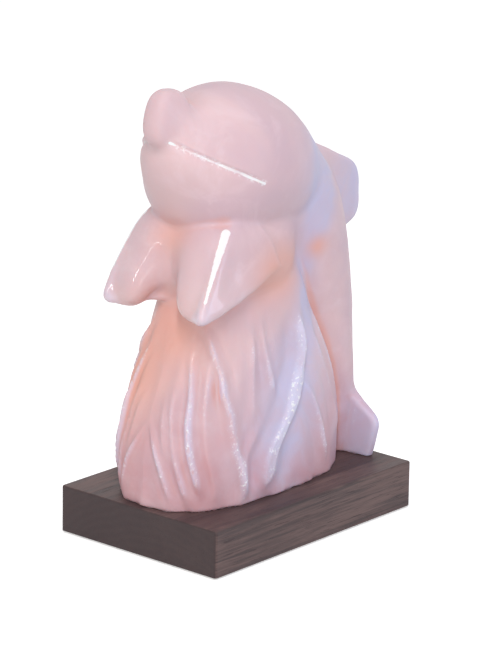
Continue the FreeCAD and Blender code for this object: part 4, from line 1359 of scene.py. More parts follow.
@dataclass(frozen=True)
class GlassFinish:
    """Clear blown glass with the faintest waviness and dust."""

    slot: Slot
    tint: Colour = (0.98, 0.99, 0.99)
    dust: Colour = (0.8, 0.8, 0.79)

    def build(self) -> bpy.types.Material:
        """Makes the material.

        Returns:
            The material of that slot.
        """
        made, graph = start_material(self.slot.value)
        where = graph.place()
        waves = graph.noise(where, 120.0, 2.0)
        dust = graph.ramp(graph.noise(where, 800.0, 3.0, 0.7), 0.6, 0.85)
        body = graph.blend(dust * 0.25, flat(self.tint), flat(self.dust))
        inputs = {"Base Color": body, "Roughness": 0.02 + 0.2 * dust, "IOR": 1.5, "Transmission Weight": 1.0}
        surface(graph, inputs, waves, 0.00004)
        return made


# ------------------------------------------------------------------ meshes
def make_mesh(name: str, points: Array, faces: Faces, smooth: bool = True) -> bpy.types.Object:
    """Makes an object from points in metres.

    Args:
        name: Name of the piece.
        points: Places, one a row.
        faces: Rows of point numbers.
        smooth: Whether its faces are shaded smooth.

    Returns:
        The object, linked to the scene.
    """
    mesh = bpy.data.meshes.new(name)
    mesh.from_pydata(points.tolist(), [], faces)
    mesh.polygons.foreach_set("use_smooth", [smooth] * len(mesh.polygons))
    mesh.update()
    made = bpy.data.objects.new(name, mesh)
    bpy.context.scene.collection.objects.link(made)
    return made


def dress(piece: bpy.types.Object, material: bpy.types.Material) -> None:
    """Puts one material on a whole piece, a packed one too.

    Args:
        piece: The piece.
        material: Its finish.
    """
    if not piece.data.materials:
        piece.data.materials.append(material)
    for spot in piece.material_slots:
        spot.material = material


@dataclass
class Carving:
    """The carved salt stone.

    Attributes:
        figure: Its shape.
        finish: Its finish.
        step: Width of the net's cells, in mm.
        reach: How far outside the stone a hollow's other wall is looked for, in mm.
        depth: How far inside the stone its far skin is looked for.
        painted_shade_places: Where peach is painted as shade, mostly under and between the flippers: place
            and reach of each, in mm above its foot.
        glossy_places: Where it is polished bright.
        painted_cool_light_places: Where a bluish tint is painted as the light of a cool lamp, mostly on the
            right side, the back and the tail.
    """

    figure: Figure = field(default_factory=Figure)
    finish: SaltFinish = field(default_factory=SaltFinish)
    step: float = 1.24
    quick_step: float = 1.7
    reach: float = 7.0
    depth: float = 6.0
    painted_shade_places: Spots = (
        (0.0, -52.0, 94.0, 22.0), (33.0, -16.0, 118.0, 17.0), (-33.0, -16.0, 118.0, 17.0),
        (-20.0, -60.0, 62.0, 26.0), (0.0, -50.0, 140.0, 13.0), (25.5, 31.0, 123.0, 7.0),
        (29.0, 3.0, 117.0, 13.0), (-29.0, 3.0, 117.0, 13.0),
    )
    glossy_places: Spots = (
        (30.0, -62.0, 118.0, 21.0),
        (-30.0, -62.0, 118.0, 21.0),
    )
    painted_cool_light_places: Spots = (
        (25.0, 30.0, 174.0, 11.0), (28.0, 32.0, 160.0, 11.0), (28.0, 32.0, 146.0, 10.0),
        (26.0, 29.0, 134.0, 8.0), (24.0, 26.0, 122.0, 7.0), (22.0, 25.0, 111.0, 7.0),
        (26.0, 21.0, 99.0, 9.0), (27.0, 20.0, 86.0, 12.0), (36.0, -8.0, 26.0, 27.0),
        (32.0, 8.0, 62.0, 22.0), (0.0, 90.0, 145.0, 30.0), (36.0, 72.0, 12.0, 24.0),
        (26.0, 26.0, 165.0, 20.0), (-36.0, 5.0, 40.0, 30.0),
    )

    @staticmethod
    def near(points: Array, spots: Spots) -> Array:
        """How near each point is to some places.

        Args:
            points: The points, in mm.
            spots: Place and reach of each.

        Returns:
            1 at their middles, fading out to 0.
        """
        total = np.zeros(len(points))
        for x, y, z, reach in spots:
            gap = points - np.array([x, y, z])
            total += np.exp(-(gap * gap).sum(axis=1) / (reach * reach))
        return np.clip(total, 0.0, 1.0)

    def measures(self, points: Array) -> dict[str, Array]:
        """What colours the stone at each point, painted shade and painted light among them.

        Args:
            points: The points, in mm above its foot.

        Returns:
            Numbers from 0 to 1, by the names that the finish reads.
        """
        way = self.figure.slope(points, 0.5)
        way = way / np.maximum(np.linalg.norm(way, axis=1), 1e-6)[:, None]
        outside = self.figure.body(points + way * self.reach) / self.reach
        inside = -self.figure.body(points - way * self.depth) / self.depth
        wave = self.figure.wave
        ridge = (wave.relief(points) + wave.sunk) * (1.0 - ease(points[:, 2], 88.0, 104.0))
        return {
            "hollow": np.clip(1.0 - outside, 0.0, 1.0),
            "thin": np.clip(1.0 - inside, 0.0, 1.0),
            "low": 1.0 - ease(points[:, 2], 8.0, 70.0),
            "painted_shade": self.near(points, self.painted_shade_places),
            "painted_cool_light": self.near(points, self.painted_cool_light_places),
            "gloss": self.near(points, self.glossy_places),
            "ridge": ease(ridge, 0.5, 2.0),
        }

    def build(self) -> None:
        """Meshes the stone and dresses it."""
        net = Net(step=self.step)
        points, faces = net.mesh(self.figure)
        piece = make_mesh("carved_salt", (points + (0.0, 0.0, FOOT)) * MM, faces.tolist())
        for name, values in self.measures(points).items():
            layer = piece.data.attributes.new(name, "FLOAT", "POINT")
            layer.data.foreach_set("value", values.astype(np.float32))
        dress(piece, self.finish.build())
        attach(piece, "lamp")
        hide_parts("salt_carving")
        LOG.info("carved_salt: %d faces, on lamp, for salt_carving", len(faces))


# ------------------------------------------------------------------ turned hardware
def lathe(profile: Profile, steps: int, ring: bool) -> tuple[Array, Faces]:
    """Turns a profile about the upright axis.

    Args:
        profile: Radius and height of each corner in mm, rising on the outside.
        steps: Facets round.
        ring: Whether the profile closes on itself; otherwise both its ends lie on the axis.

    Returns:
        The points in mm and the faces as rows of point numbers.
    """
    rows = profile if ring else profile[1:-1]
    turn = np.arange(steps) * (2.0 * math.pi / steps)
    points = [(r * math.cos(a), r * math.sin(a), z) for r, z in rows for a in turn]
    faces: Faces = []
    pairs = len(rows) if ring else len(rows) - 1
    for low in range(pairs):
        high = (low + 1) % len(rows)
        for side in range(steps):
            after = (side + 1) % steps
            here, there = low * steps, high * steps
            faces.append((here + side, here + after, there + after, there + side))
    if not ring:
        points += [(0.0, 0.0, profile[0][1]), (0.0, 0.0, profile[-1][1])]
        last = (len(rows) - 1) * steps
        for side in range(steps):
            after = (side + 1) % steps
            faces.append((len(points) - 2, after, side))
            faces.append((last + side, last + after, len(points) - 1))
    return np.array(points), faces


def finer(profile: Profile, step: float) -> Profile:
    """Splits a profile's straight runs.

    Args:
        profile: Radius and height of each corner.
        step: Length that no piece is longer than.

    Returns:
        The profile with the added corners.
    """
    made = [profile[0]]
    for (r0, z0), (r1, z1) in zip(profile, profile[1:]):
        count = max(1, math.ceil(math.hypot(r1 - r0, z1 - z0) / step))
        made += [(r0 + (r1 - r0) * i / count, z0 + (z1 - z0) * i / count) for i in range(1, count + 1)]
    return made


def start_tree(name: str, sizes: dict[str, float]) -> tuple[bpy.types.NodeTree, Graph, Port]:
    """Begins a geometry tree with named inputs.

    Args:
        name: Name of the tree.
        sizes: Its inputs and their usual values.

    Returns:
        The tree, its graph and the port of the geometry that comes in.
    """
    tree = bpy.data.node_groups.new(name, "GeometryNodeTree")
    tree.interface.new_socket("Geometry", in_out="INPUT", socket_type="NodeSocketGeometry")
    tree.interface.new_socket("Geometry", in_out="OUTPUT", socket_type="NodeSocketGeometry")
    for label, value in sizes.items():
        socket = tree.interface.new_socket(label, in_out="INPUT", socket_type="NodeSocketFloat")
        socket.default_value = value
    graph = Graph(tree)
    return tree, graph, graph.add("NodeGroupInput")


def end_tree(graph: Graph, shape: Port, material: bpy.types.Material) -> None:
    """Makes the geometry real, gives it its material and hands it out.

    Args:
        graph: The tree's graph.
        shape: The geometry.
        material: Its finish.
    """
    real = graph.add("GeometryNodeRealizeInstances", None, {0: shape})
    dressed = graph.add("GeometryNodeSetMaterial", None, {"Geometry": real, "Material": material})
    graph.add("NodeGroupOutput", None, {0: dressed})


def grow(
    name: str, points: Array, faces: Faces, tree: bpy.types.NodeTree, sizes: dict[str, float]
) -> bpy.types.Object:
    """Runs a blank through a geometry tree and keeps the outcome as a plain mesh.

    Args:
        name: Name of the piece.
        points: Places of the blank, in metres.
        faces: Faces of the blank.
        tree: The geometry tree.
        sizes: Values for its named inputs.

    Returns:
        The finished piece.
    """
    blank = make_mesh(f"{name}_blank", points, faces)
    shaper = blank.modifiers.new("shape", "NODES")
    shaper.node_group = tree
    for item in tree.interface.items_tree:
        if item.in_out == "INPUT" and item.name in sizes:
            shaper[item.identifier] = sizes[item.name]
    ready = blank.evaluated_get(bpy.context.evaluated_depsgraph_get())
    mesh = bpy.data.meshes.new_from_object(ready)
    blank.modifiers.clear()
    bpy.data.objects.remove(blank)
    mesh.name = name
    mesh.set_sharp_from_angle(angle=SHARP)
    made = bpy.data.objects.new(name, mesh)
    bpy.context.scene.collection.objects.link(made)
    return made


# Sizes that a relief may have beside its pitch, in metres but for the number of ribs.
RELIEF = (
    *("Thread", "Thread Low", "Thread High"),
    *("Ribs", "Rib Depth", "Rib Low", "Rib High", "Skin"),
    *("Slot", "Slot Deep", "Slot Long", "Cross Long", "Face"),
    *("Spread X", "Spread Y", "Middle Y"),
)


def relief_tree(material: bpy.types.Material) -> bpy.types.NodeTree:
    """Cuts threads, ribs and a driver's recess into a turned blank, and sets out its copies.

    Args:
        material: The finish of the piece.

    Returns:
        The tree; its sizes are in metres, but for the number of ribs.
    """
    tree, graph, shape = start_tree(f"relief_{material.name}", {"Pitch": 0.002, **dict.fromkeys(RELIEF, 0.0)})
    x, y, z = graph.split(graph.add("GeometryNodeInputPosition"))
    angle = graph.maths("ARCTAN2", y, x)
    radius = graph.maths("SQRT", x * x + y * y)
    outward = graph.vector("NORMALIZE", graph.join(x, y, 0.0), (0.0, 0.0, 0.0))

    def between(low: Port, high: Port, soft: Port) -> Port:
        """1 between two heights, running out softly."""
        start = graph.ramp(z, low, low + soft)
        return start * graph.ramp(z, high - soft, high, 1.0, 0.0)

    pitch = shape.other("Pitch")
    phase = z / pitch * (2.0 * math.pi) - angle
    crest = (graph.maths("COSINE", phase) * 0.5 + 0.5) ** 1.6
    turned = between(shape.other("Thread Low"), shape.other("Thread High"), pitch * 0.7)
    thread = (crest - 1.0) * shape.other("Thread") * turned
    hollow = 0.5 - 0.5 * graph.maths("COSINE", angle * shape.other("Ribs"))
    ribbed = between(shape.other("Rib Low"), shape.other("Rib High"), pitch * 0.5)
    ribs = hollow**0.6 * shape.other("Rib Depth") * ribbed
    skin = graph.maths("GREATER_THAN", radius, shape.other("Skin"))
    out = {0: outward, "Scale": (thread - ribs) * skin}
    aside = graph.add("ShaderNodeVectorMath", {"operation": "SCALE"}, out)

    wide = shape.other("Slot")
    across, along = graph.maths("ABSOLUTE", x), graph.maths("ABSOLUTE", y)
    long, cross_long = shape.other("Slot Long"), shape.other("Cross Long")
    slot = graph.maths("LESS_THAN", across, wide) * graph.maths("LESS_THAN", along, long)
    cross = graph.maths("LESS_THAN", along, wide) * graph.maths("LESS_THAN", across, cross_long)
    on_face = graph.maths("LESS_THAN", z, shape.other("Face"))
    lift = graph.maths("MAXIMUM", slot, cross) * on_face * shape.other("Slot Deep")
    move = graph.vector("ADD", aside, graph.join(0.0, 0.0, lift))
    cut_blank = graph.add("GeometryNodeSetPosition", None, {"Geometry": shape, "Offset": move})

    spread = {"Size X": shape.other("Spread X"), "Size Y": shape.other("Spread Y")}
    spots = graph.add("GeometryNodeMeshGrid", None, {**spread, "Vertices X": 2, "Vertices Y": 2})
    spots = graph.add("GeometryNodeMergeByDistance", None, {"Geometry": spots})
    shift = graph.join(0.0, shape.other("Middle Y"), 0.0)
    spots = graph.add("GeometryNodeSetPosition", None, {"Geometry": spots, "Offset": shift})
    copies = graph.add("GeometryNodeInstanceOnPoints", None, {"Points": spots, "Instance": cut_blank})
    end_tree(graph, copies, material)
    return tree


def coil_tree(material: bpy.types.Material) -> bpy.types.NodeTree:
    """Winds a fine coil along a bow between two ends; sizes are in metres.

    Args:
        material: The finish of the wire.

    Returns:
        The tree.
    """
    ends = {"Reach": 0.005, "Low": 0.07478, "Bow": 0.00448}
    winding = {"Coil": 0.00026, "Wire": 0.000085, "Turns": 46.0, "Points": 560.0}
    tree, graph, shape = start_tree(f"coil_{material.name}", {**ends, **winding})
    count = graph.add("FunctionNodeFloatToInt", None, {0: shape.other("Points")})
    line = graph.add("GeometryNodeMeshLine", None, {"Count": count})
    share = graph.add("GeometryNodeInputIndex") / (shape.other("Points") - 1.0)
    side = share * 2.0 - 1.0
    reach, bow, coil = shape.other("Reach"), shape.other("Bow"), shape.other("Coil")
    slope = graph.maths("ARCTANGENT", side * bow * -2.0 / reach)
    phase = share * shape.other("Turns") * (2.0 * math.pi)
    out = graph.maths("COSINE", phase) * coil
    x = side * reach - out * graph.maths("SINE", slope)
    z = shape.other("Low") + (1.0 - side * side) * bow + out * graph.maths("COSINE", slope)
    place = graph.join(x, graph.maths("SINE", phase) * coil, z)
    bent = graph.add("GeometryNodeSetPosition", None, {"Geometry": line, "Position": place})
    curve = graph.add("GeometryNodeMeshToCurve", None, {"Mesh": bent})
    round_wire = {"Resolution": 6, "Radius": shape.other("Wire")}
    ring = graph.add("GeometryNodeCurvePrimitiveCircle", None, round_wire)
    swept = {"Curve": curve, "Profile Curve": ring, "Fill Caps": True}
    tube = graph.add("GeometryNodeCurveToMesh", None, swept)
    end_tree(graph, tube, material)
    return tree


@dataclass(frozen=True)
class Turned:
    """A small turned piece, from a profile in mm and the sizes of its relief in mm.

    Attributes:
        name: Name of the piece.
        node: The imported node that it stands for.
        body: The body that carries it.
        slot: Its material slot.
        profile: Radius and height of each corner, rising on the outside.
        relief: Sizes of its threads, ribs, recess and copies, by the tree's own names.
        ring: Whether the profile closes on itself.
        step: Length of the pieces that its straight runs are split into.
        steps: Facets round.
    """

    name: str
    node: str
    body: Body
    slot: Slot
    profile: Profile
    relief: dict[str, float] = field(default_factory=dict)
    ring: bool = False
    step: float = 0.5
    steps: int = 48

    def build(self, materials: Materials) -> None:
        """Turns the blank, cuts its relief and fits it to its body.

        Args:
            materials: Materials by slot.
        """
        corners = [*self.profile, self.profile[0]] if self.ring else self.profile
        corners = finer(corners, self.step)
        points, faces = lathe(corners[:-1] if self.ring else corners, self.steps, self.ring)
        sizes = {label: value if label == "Ribs" else value * MM for label, value in self.relief.items()}
        made = grow(self.name, points * MM, faces, relief_tree(materials[self.slot]), sizes)
        fit(made, self.node, self.body)


def fit(piece: bpy.types.Object, node: str, body: Body) -> None:
    """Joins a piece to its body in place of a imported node.

    Args:
        piece: The finished piece.
        node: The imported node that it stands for.
        body: The body that carries it.
    """
    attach(piece, body.value)
    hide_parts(node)
    LOG.info("%s: %d faces, on %s, for %s", piece.name, len(piece.data.polygons), body.value, node)


@dataclass
class Fixings:
    """Screws through the base and the wall plugs that they bite into, in mm."""

    spread: float = 38.0
    along: float = 86.0
    middle: float = -3.0
    head: float = 4.2
    head_low: float = 1.4
    head_high: float = 4.0
    shank: float = 2.0
    point: float = 38.0
    top: float = 42.0
    plug: float = 4.0
    plug_low: float = 26.0
    plug_high: float = 46.0
    plug_hole: float = 2.1
    plug_deep: float = 42.5
    tooth: float = 1.7
    tooth_depth: float = 0.55

    def copies(self) -> dict[str, float]:
        """How the four are set out."""
        return {"Spread X": self.spread, "Spread Y": self.along, "Middle Y": self.middle}

    def screws(self) -> Turned:
        """Countersunk screws with a cross recess and a coarse thread.

        Returns:
            The four screws.
        """
        profile = [
            (0.0, self.head_low), (self.head - 0.1, self.head_low), (self.head, self.head_low + 0.15),
            (self.shank, self.head_high), (self.shank, self.point), (0.3, self.top), (0.0, self.top),
        ]
        relief = {"Pitch": 1.7, "Thread": 0.55, "Thread Low": 9.0, "Thread High": 43.0}
        recess = {"Slot": 0.42, "Slot Deep": 1.5, "Slot Long": 2.3, "Cross Long": 2.3}
        relief |= recess | {"Face": self.head_low + 0.05} | self.copies()
        return Turned(
            "threaded_screws", "salt_screws", Body.LAMP, Slot.STEEL, profile, relief, step=0.24, steps=24
        )

    def plugs(self) -> Turned:
        """Wall plugs with rings of teeth.

        Returns:
            The four plugs.
        """
        hole, deep = self.plug_hole, self.plug_deep
        profile = [(0.0, deep), (hole, deep), (hole, self.plug_low), (self.plug, self.plug_low)]
        height = self.plug_low + 1.5
        while height + self.tooth < self.plug_high - 1.0:
            profile += [(self.plug, height), (self.plug - self.tooth_depth, height + 0.25)]
            height += self.tooth
        profile += [(self.plug, height), (self.plug - 0.8, self.plug_high), (0.0, self.plug_high)]
        return Turned(
            "toothed_plugs", "salt_plugs", Body.LAMP, Slot.GREY_PLASTIC, profile, self.copies(), step=3.0,
            steps=28
        )

    def build(self, materials: Materials) -> None:
        """Builds both."""
        for piece in (self.screws(), self.plugs()):
            piece.build(materials)


@dataclass
class Holder:
    """The turned and ribbed pieces of the pull-out bulb holder, in mm."""

    sleeve: float = 14.3
    sleeve_bore: float = 12.7
    sleeve_low: float = 18.5
    sleeve_high: float = 52.5
    mouth: float = 8.6
    lip: float = 1.8
    rib_count: int = 30
    rib_depth: float = 0.6
    shell: float = 7.03
    shell_wall: float = 0.4
    shell_foot: float = 9.4
    shell_low: float = 32.0
    shell_high: float = 49.0
    thread_pitch: float = 2.82
    thread_depth: float = 0.32
    terminal_head: float = 2.6
    terminal_shank: float = 1.5
    terminal_low: float = 21.1
    terminal_thick: float = 1.4
    terminal_high: float = 28.0
    terminal_apart: float = 15.2

    def ribbed_sleeve(self) -> Turned:
        """Sleeve with grip ribs and a rounded rim round its mouth.

        Returns:
            The sleeve.
        """
        low, high, inside = self.sleeve_low, self.sleeve_high, self.sleeve_high - self.lip
        profile = [
            (self.sleeve_bore, low), (self.sleeve - 0.4, low), (self.sleeve, low + 0.4),
            (self.sleeve, high - 1.0), (self.sleeve - 0.3, high - 0.3), (self.sleeve - 1.0, high),
            (self.mouth + 0.4, high), (self.mouth, high - 0.4), (self.mouth, inside),
            (self.sleeve_bore, inside),
        ]
        relief = {"Pitch": 4.0, "Ribs": self.rib_count, "Rib Depth": self.rib_depth}
        relief |= {"Rib Low": low + 2.5, "Rib High": high - 4.0, "Skin": self.sleeve - 0.9}
        return Turned(
            "ribbed_sleeve", "holder_sleeve", Body.HOLDER, Slot.BLACK_PLASTIC, profile, relief, ring=True,
            step=1.0, steps=self.rib_count * 8
        )

    def rolled_shell(self) -> Turned:
        """Brass shell with its rolled thread.

        Returns:
            The shell.
        """
        outer, low = self.shell + self.shell_wall, self.shell_low
        profile = [
            (self.shell, low), (self.shell_foot, low), (self.shell_foot, low + self.shell_wall),
            (outer, low + self.shell_wall), (outer, self.shell_high), (self.shell, self.shell_high),
        ]
        relief = {"Pitch": self.thread_pitch, "Thread": -self.thread_depth}
        relief |= {"Thread Low": low + 2.0, "Thread High": self.shell_high}
        return Turned(
            "rolled_shell", "screw_shell", Body.HOLDER, Slot.BRASS, profile, relief, ring=True, step=0.35,
            steps=56
        )

    def terminal_screws(self) -> Turned:
        """Two cheese-head screws with a slot.

        Returns:
            Both screws.
        """
        head, low, high = self.terminal_head, self.terminal_low, self.terminal_high
        neck = low + self.terminal_thick
        profile = [
            (0.0, low), (head - 0.3, low), (head, low + 0.3), (head, neck), (self.terminal_shank, neck),
            (self.terminal_shank, high - 0.6), (0.9, high), (0.0, high),
        ]
        relief = {"Pitch": 0.7, "Thread": 0.25, "Thread Low": low + 1.5, "Thread High": high + 0.5}
        relief |= {"Slot": 0.3, "Slot Deep": 0.7, "Slot Long": head, "Face": low + 0.35}
        relief["Spread Y"] = self.terminal_apart
        return Turned(
            "slotted_screws", "terminal_screws", Body.HOLDER, Slot.STEEL, profile, relief, step=0.14,
            steps=40
        )

    def build(self, materials: Materials) -> None:
        """Builds the pieces that are turned or ribbed."""
        for piece in (self.ribbed_sleeve(), self.rolled_shell(), self.terminal_screws()):
            piece.build(materials)


@dataclass
class Bulb:
    """The small screw-in bulb, in mm."""

    cap: float = 6.95
    cap_wall: float = 0.3
    cap_low: float = 39.3
    cap_high: float = 53.3
    tip: float = 2.2
    tip_low: float = 35.3
    tip_high: float = 36.1
    insulator: float = 6.6
    insulator_high: float = 40.1
    glass: float = 11.0
    glass_wall: float = 0.7
    neck: float = 6.1
    neck_low: float = 47.3
    shoulder: float = 6.0
    top: float = 89.3
    thread_pitch: float = 2.82
    thread_depth: float = 0.42
    flare_points: int = 9
    dome_points: int = 16

    def threaded_cap(self) -> Turned:
        """Cap with its rolled thread.

        Returns:
            The cap.
        """
        outer, inner, low, high = self.cap, self.cap - self.cap_wall, self.cap_low, self.cap_high
        profile = [(inner, low), (outer - 0.12, low), (outer, low + 0.3), (outer, high), (inner, high)]
        relief = {"Pitch": self.thread_pitch, "Thread": self.thread_depth}
        relief |= {"Thread Low": low + 0.9, "Thread High": high - 1.6}
        return Turned(
            "threaded_cap", "bulb_cap", Body.BULB, Slot.NICKEL, profile, relief, ring=True, step=0.3,
            steps=56
        )

    def outline(self, shrink: float) -> Profile:
        """The glass from its neck to its top.

        Args:
            shrink: How far it is drawn in.

        Returns:
            Radius and height of each corner.
        """
        neck, belly = self.neck - shrink, self.glass - shrink
        start = self.cap_high - 0.8
        made = [(neck, self.neck_low), (neck, self.cap_high - 1.2)]
        for index in range(1, self.flare_points + 1):
            share = index / self.flare_points
            bend = share * share * (3.0 - 2.0 * share)
            made.append((neck + (belly - neck) * bend, start + (self.shoulder + 0.8) * share))
        centre = self.top - self.glass
        for index in range(self.dome_points):
            turn = math.pi / 2.0 * index / self.dome_points
            made.append((belly * math.cos(turn), centre + belly * math.sin(turn)))
        return [*made, (0.0, centre + belly)]

    def envelope(self) -> Turned:
        """Blown glass, open at its neck."""
        profile = [*reversed(self.outline(self.glass_wall)), *self.outline(0.0)]
        return Turned("blown_glass", "bulb_glass", Body.BULB, Slot.BULB_GLASS, profile, step=3.0, steps=64)

    def insulating_cone(self) -> Turned:
        """Moulded insulator between the cap and its tip.

        Returns:
            The insulator.
        """
        low, wide, rim = self.tip_high, self.insulator, self.cap_low
        profile = [
            (0.0, low), (self.tip, low), (self.tip + 0.4, low + 0.25), (wide - 0.7, rim - 0.5),
            (wide - 0.25, rim - 0.1), (wide, rim), (wide, self.insulator_high),
            (0.0, self.insulator_high),
        ]
        return Turned("moulded_insulator", "bulb_insulator", Body.BULB, Slot.VITRITE, profile)

    def solder_dome(self) -> Turned:
        """Drop of solder on the tip.

        Returns:
            The drop.
        """
        rise = self.tip_high - self.tip_low
        turns = [math.pi / 2 * index / 8 for index in range(9)]
        profile = [(self.tip * math.sin(turn), self.tip_high - rise * math.cos(turn)) for turn in turns]
        profile.append((0.0, self.tip_high))
        return Turned("solder_dome", "bulb_contact", Body.BULB, Slot.SOLDER, profile, steps=32)

    def build(self, materials: Materials) -> None:
        """Builds the cap, glass, insulator, tip and coil.

        Args:
            materials: Materials by slot.
        """
        for piece in (self.threaded_cap(), self.envelope(), self.insulating_cone(), self.solder_dome()):
            piece.build(materials)
        coil = coil_tree(materials[Slot.TUNGSTEN])
        wire = grow("coiled_filament", np.zeros((1, 3)), [], coil, {})
        fit(wire, "bulb_filament", Body.BULB)


# ------------------------------------------------------------------ studio
@dataclass(frozen=True)
class Light:
    """A soft oblong light that faces the lamp."""

    name: str
    place: Place
    wide: float
    high: float
    power: float
    colour: Colour

    def build(self, target: Vector) -> None:
        """Hangs the light.

        Args:
            target: The place that it faces.
        """
        data = bpy.data.lights.new(self.name, "AREA")
        data.shape = "RECTANGLE"
        data.size = self.wide
        data.size_y = self.high
        data.energy = self.power
        data.color = self.colour
        made = bpy.data.objects.new(self.name, data)
        made.location = self.place
        made.rotation_mode = "QUATERNION"
        made.rotation_quaternion = (target - Vector(self.place)).to_track_quat("-Z", "Y")
        bpy.context.scene.collection.objects.link(made)


@dataclass
class Studio:
    """Camera, lights, floor and surroundings.

    Attributes:
        azimuth: How far the camera stands round to the right of the front, in degrees.
        elevation: How far it looks down.
        roll: How far it is tilted sideways.
        focal: Its focal length in rows of the picture.
        distance: Its distance from what it aims at, in mm.
        aside: How far it aims to the right of the lamp's axis.
        rise: How far it aims above the stone's foot.
        sensor: Height of its film.
        clip: Nearest and furthest that it sees, in metres.
        surround: Strength of the surroundings as light.
        floor_size: Width of the floor, in metres.
        floor_glow: What the floor needs beside its light to show white.
        aim: Height that the lights face.
        lights: The lights.
    """

    azimuth: float = 40.71
    elevation: float = 16.395
    roll: float = 0.924
    focal: float = 3741.9
    distance: float = 1959.0
    aside: float = 2.05
    rise: float = 81.58
    sensor: float = 36.0
    clip: tuple[float, float] = (0.05, 50.0)
    surround: float = 0.53
    floor_size: float = 6.0
    floor_glow: float = 0.45
    aim: float = 0.12
    lights: tuple[Light, ...] = (
        Light("key_light", (0.7, -0.85, 1.1), 0.1, 0.8, 7.5, (1.0, 0.97, 0.95)),
        Light("front_light", (1.0, -0.9, 0.3), 0.5, 0.6, 2.6, (1.0, 0.97, 0.95)),
        Light("left_light", (-0.15, -1.4, 0.55), 0.07, 0.4, 2.0, (1.0, 0.97, 0.96)),
        Light("side_light", (1.2, 0.5, 0.35), 0.3, 0.9, 2.8, (0.62, 0.74, 1.0)),
        Light("top_light", (-0.2, 0.5, 1.3), 1.0, 0.6, 1.5, (0.85, 0.9, 1.0)),
    )

    def camera(self) -> None:
        """Sets the camera where the picture was taken from."""
        azimuth, elevation, roll = (math.radians(v) for v in (self.azimuth, self.elevation, self.roll))
        reach = math.cos(elevation)
        back = Vector((math.sin(azimuth) * reach, -math.cos(azimuth) * reach, math.sin(elevation)))
        level = Vector((math.cos(azimuth), math.sin(azimuth), 0.0))
        upward = back.cross(level)
        right = level * math.cos(roll) + upward * math.sin(roll)
        top = upward * math.cos(roll) - level * math.sin(roll)
        target = level * self.aside + Vector((0.0, 0.0, self.rise + FOOT))
        data = bpy.data.cameras.new("camera")
        data.sensor_width = self.sensor
        data.lens = self.focal * self.sensor / PICTURE_HIGH
        data.clip_start, data.clip_end = self.clip
        made = bpy.data.objects.new("camera", data)
        turn = Matrix((right, top, back)).transposed().to_4x4()
        made.matrix_world = Matrix.Translation((target + back * self.distance) * MM) @ turn
        bpy.context.scene.collection.objects.link(made)
        bpy.context.scene.camera = made

    def floor(self) -> None:
        """Lays a pale sheet under the lamp, which shows from above only."""
        corners = np.array([(-1.0, -1.0, 0.0), (1.0, -1.0, 0.0), (1.0, 1.0, 0.0), (-1.0, 1.0, 0.0)])
        made = make_mesh("floor", corners * (self.floor_size / 2.0), [(0, 1, 2, 3)], smooth=False)
        material, graph = start_material("pale_floor")
        grain = graph.noise(graph.place(), 300.0, 3.0)
        tone = graph.blend(grain, flat((0.98, 0.98, 0.98)), flat((0.995, 0.995, 0.995)))
        sheet = graph.add("ShaderNodeBsdfDiffuse", None, {"Color": tone})
        glow = graph.add("ShaderNodeEmission", None, {"Color": tone, "Strength": self.floor_glow})
        bright = graph.add("ShaderNodeAddShader", None, {0: sheet, 1: glow})
        lit = graph.add("ShaderNodeMixShader", None, {0: graph.background_rays(), 1: sheet, 2: bright})
        clear = graph.add("ShaderNodeBsdfTransparent")
        under = graph.add("ShaderNodeNewGeometry", output="Backfacing")
        mixed = graph.add("ShaderNodeMixShader", None, {0: under, 1: lit, 2: clear})
        graph.add("ShaderNodeOutputMaterial", None, {"Surface": mixed})
        dress(made, material)
        made.visible_diffuse = False

    def surroundings(self) -> None:
        """Makes all round white to the camera, in reflections and through glass, and softer as light."""
        world = bpy.data.worlds.new("studio")
        bpy.context.scene.world = world
        world.use_nodes = True
        world.node_tree.nodes.clear()
        graph = Graph(world.node_tree)
        strength = self.surround + graph.background_rays() * (1.0 - self.surround)
        white = {"Color": flat((1.0, 1.0, 1.0)), "Strength": strength}
        light = graph.add("ShaderNodeBackground", None, white)
        graph.add("ShaderNodeOutputWorld", None, {"Surface": light})

    def build(self) -> None:
        """Sets up the whole studio."""
        self.camera()
        self.floor()
        self.surroundings()
        for light in self.lights:
            light.build(Vector((0.0, 0.0, self.aim)))
        bpy.context.scene.view_settings.view_transform = "Standard"


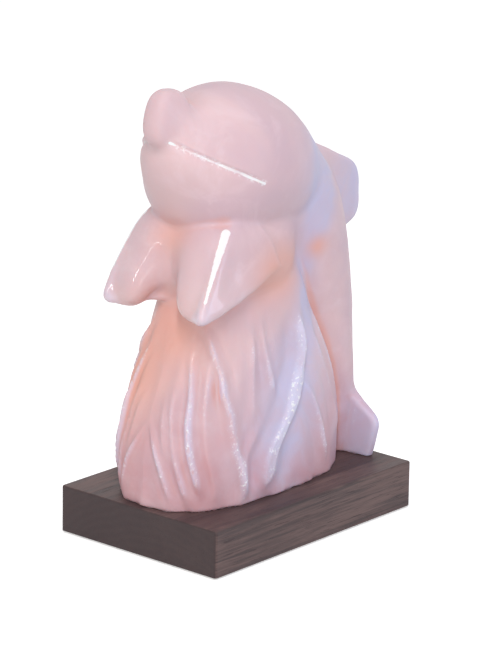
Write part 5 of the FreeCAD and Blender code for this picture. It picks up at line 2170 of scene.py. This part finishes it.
PLAIN_FINISHES = (
    PlasticFinish(Slot.GREY_PLASTIC, (0.32, 0.33, 0.34), 0.5),
    PlasticFinish(Slot.WHITE_PLASTIC, (0.74, 0.73, 0.7), 0.3, clear=0.2),
    PlasticFinish(Slot.BLACK_PLASTIC, (0.018, 0.018, 0.019), 0.38),
    MetalFinish(Slot.BRASS, (0.72, 0.5, 0.2), (0.4, 0.25, 0.1)),
    MetalFinish(Slot.STEEL, (0.62, 0.62, 0.63), (0.4, 0.39, 0.38), 0.24),
    MetalFinish(Slot.SPRING_STEEL, (0.5, 0.51, 0.53), (0.3, 0.29, 0.28), 0.3),
    MetalFinish(Slot.NICKEL, (0.69, 0.67, 0.62), (0.5, 0.47, 0.41), 0.2),
    MetalFinish(Slot.SOLDER, (0.55, 0.55, 0.56), (0.36, 0.36, 0.37), 0.42),
    MetalFinish(Slot.TUNGSTEN, (0.42, 0.4, 0.38), (0.25, 0.24, 0.24), 0.35),
    PlasticFinish(Slot.VITRITE, (0.012, 0.012, 0.015), 0.12, clear=0.6),
    GlassFinish(Slot.BULB_GLASS),
)
KEPT_NODES = {
    "wood_base": Slot.WALNUT,
    "felt_sheet": Slot.FELT,
    "holder_plate": Slot.BLACK_PLASTIC,
    "contact_block": Slot.WHITE_PLASTIC,
    "centre_contact": Slot.BRASS,
    "side_terminal": Slot.BRASS,
    "clip_right": Slot.SPRING_STEEL,
    "clip_left": Slot.SPRING_STEEL,
    "bulb_stem": Slot.BULB_GLASS,
    "bulb_leads": Slot.NICKEL,
}


def main() -> None:
    """Builds the lamp piece by piece."""
    logging.basicConfig(level=logging.INFO, format="%(name)s: %(message)s")
    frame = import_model()
    Studio().build()
    Carving().build()
    nodes = frame["nodes"]
    finishes = {finish.slot: finish.build() for finish in PLAIN_FINISHES}
    places = [corner[1] for corner in nodes["wood_base"].bound_box]
    finishes[Slot.WALNUT] = WalnutFinish(ends=(min(places), max(places))).build()
    finishes[Slot.FELT] = FeltFinish().build()
    for node, slot in KEPT_NODES.items():
        dress(nodes[node], finishes[slot])
        LOG.info("%s: %d faces, in %s", node, len(nodes[node].data.polygons), slot.value)
    for assembly in (Fixings(), Holder(), Bulb()):
        assembly.build(finishes)


if __name__ == "__main__":
    main()
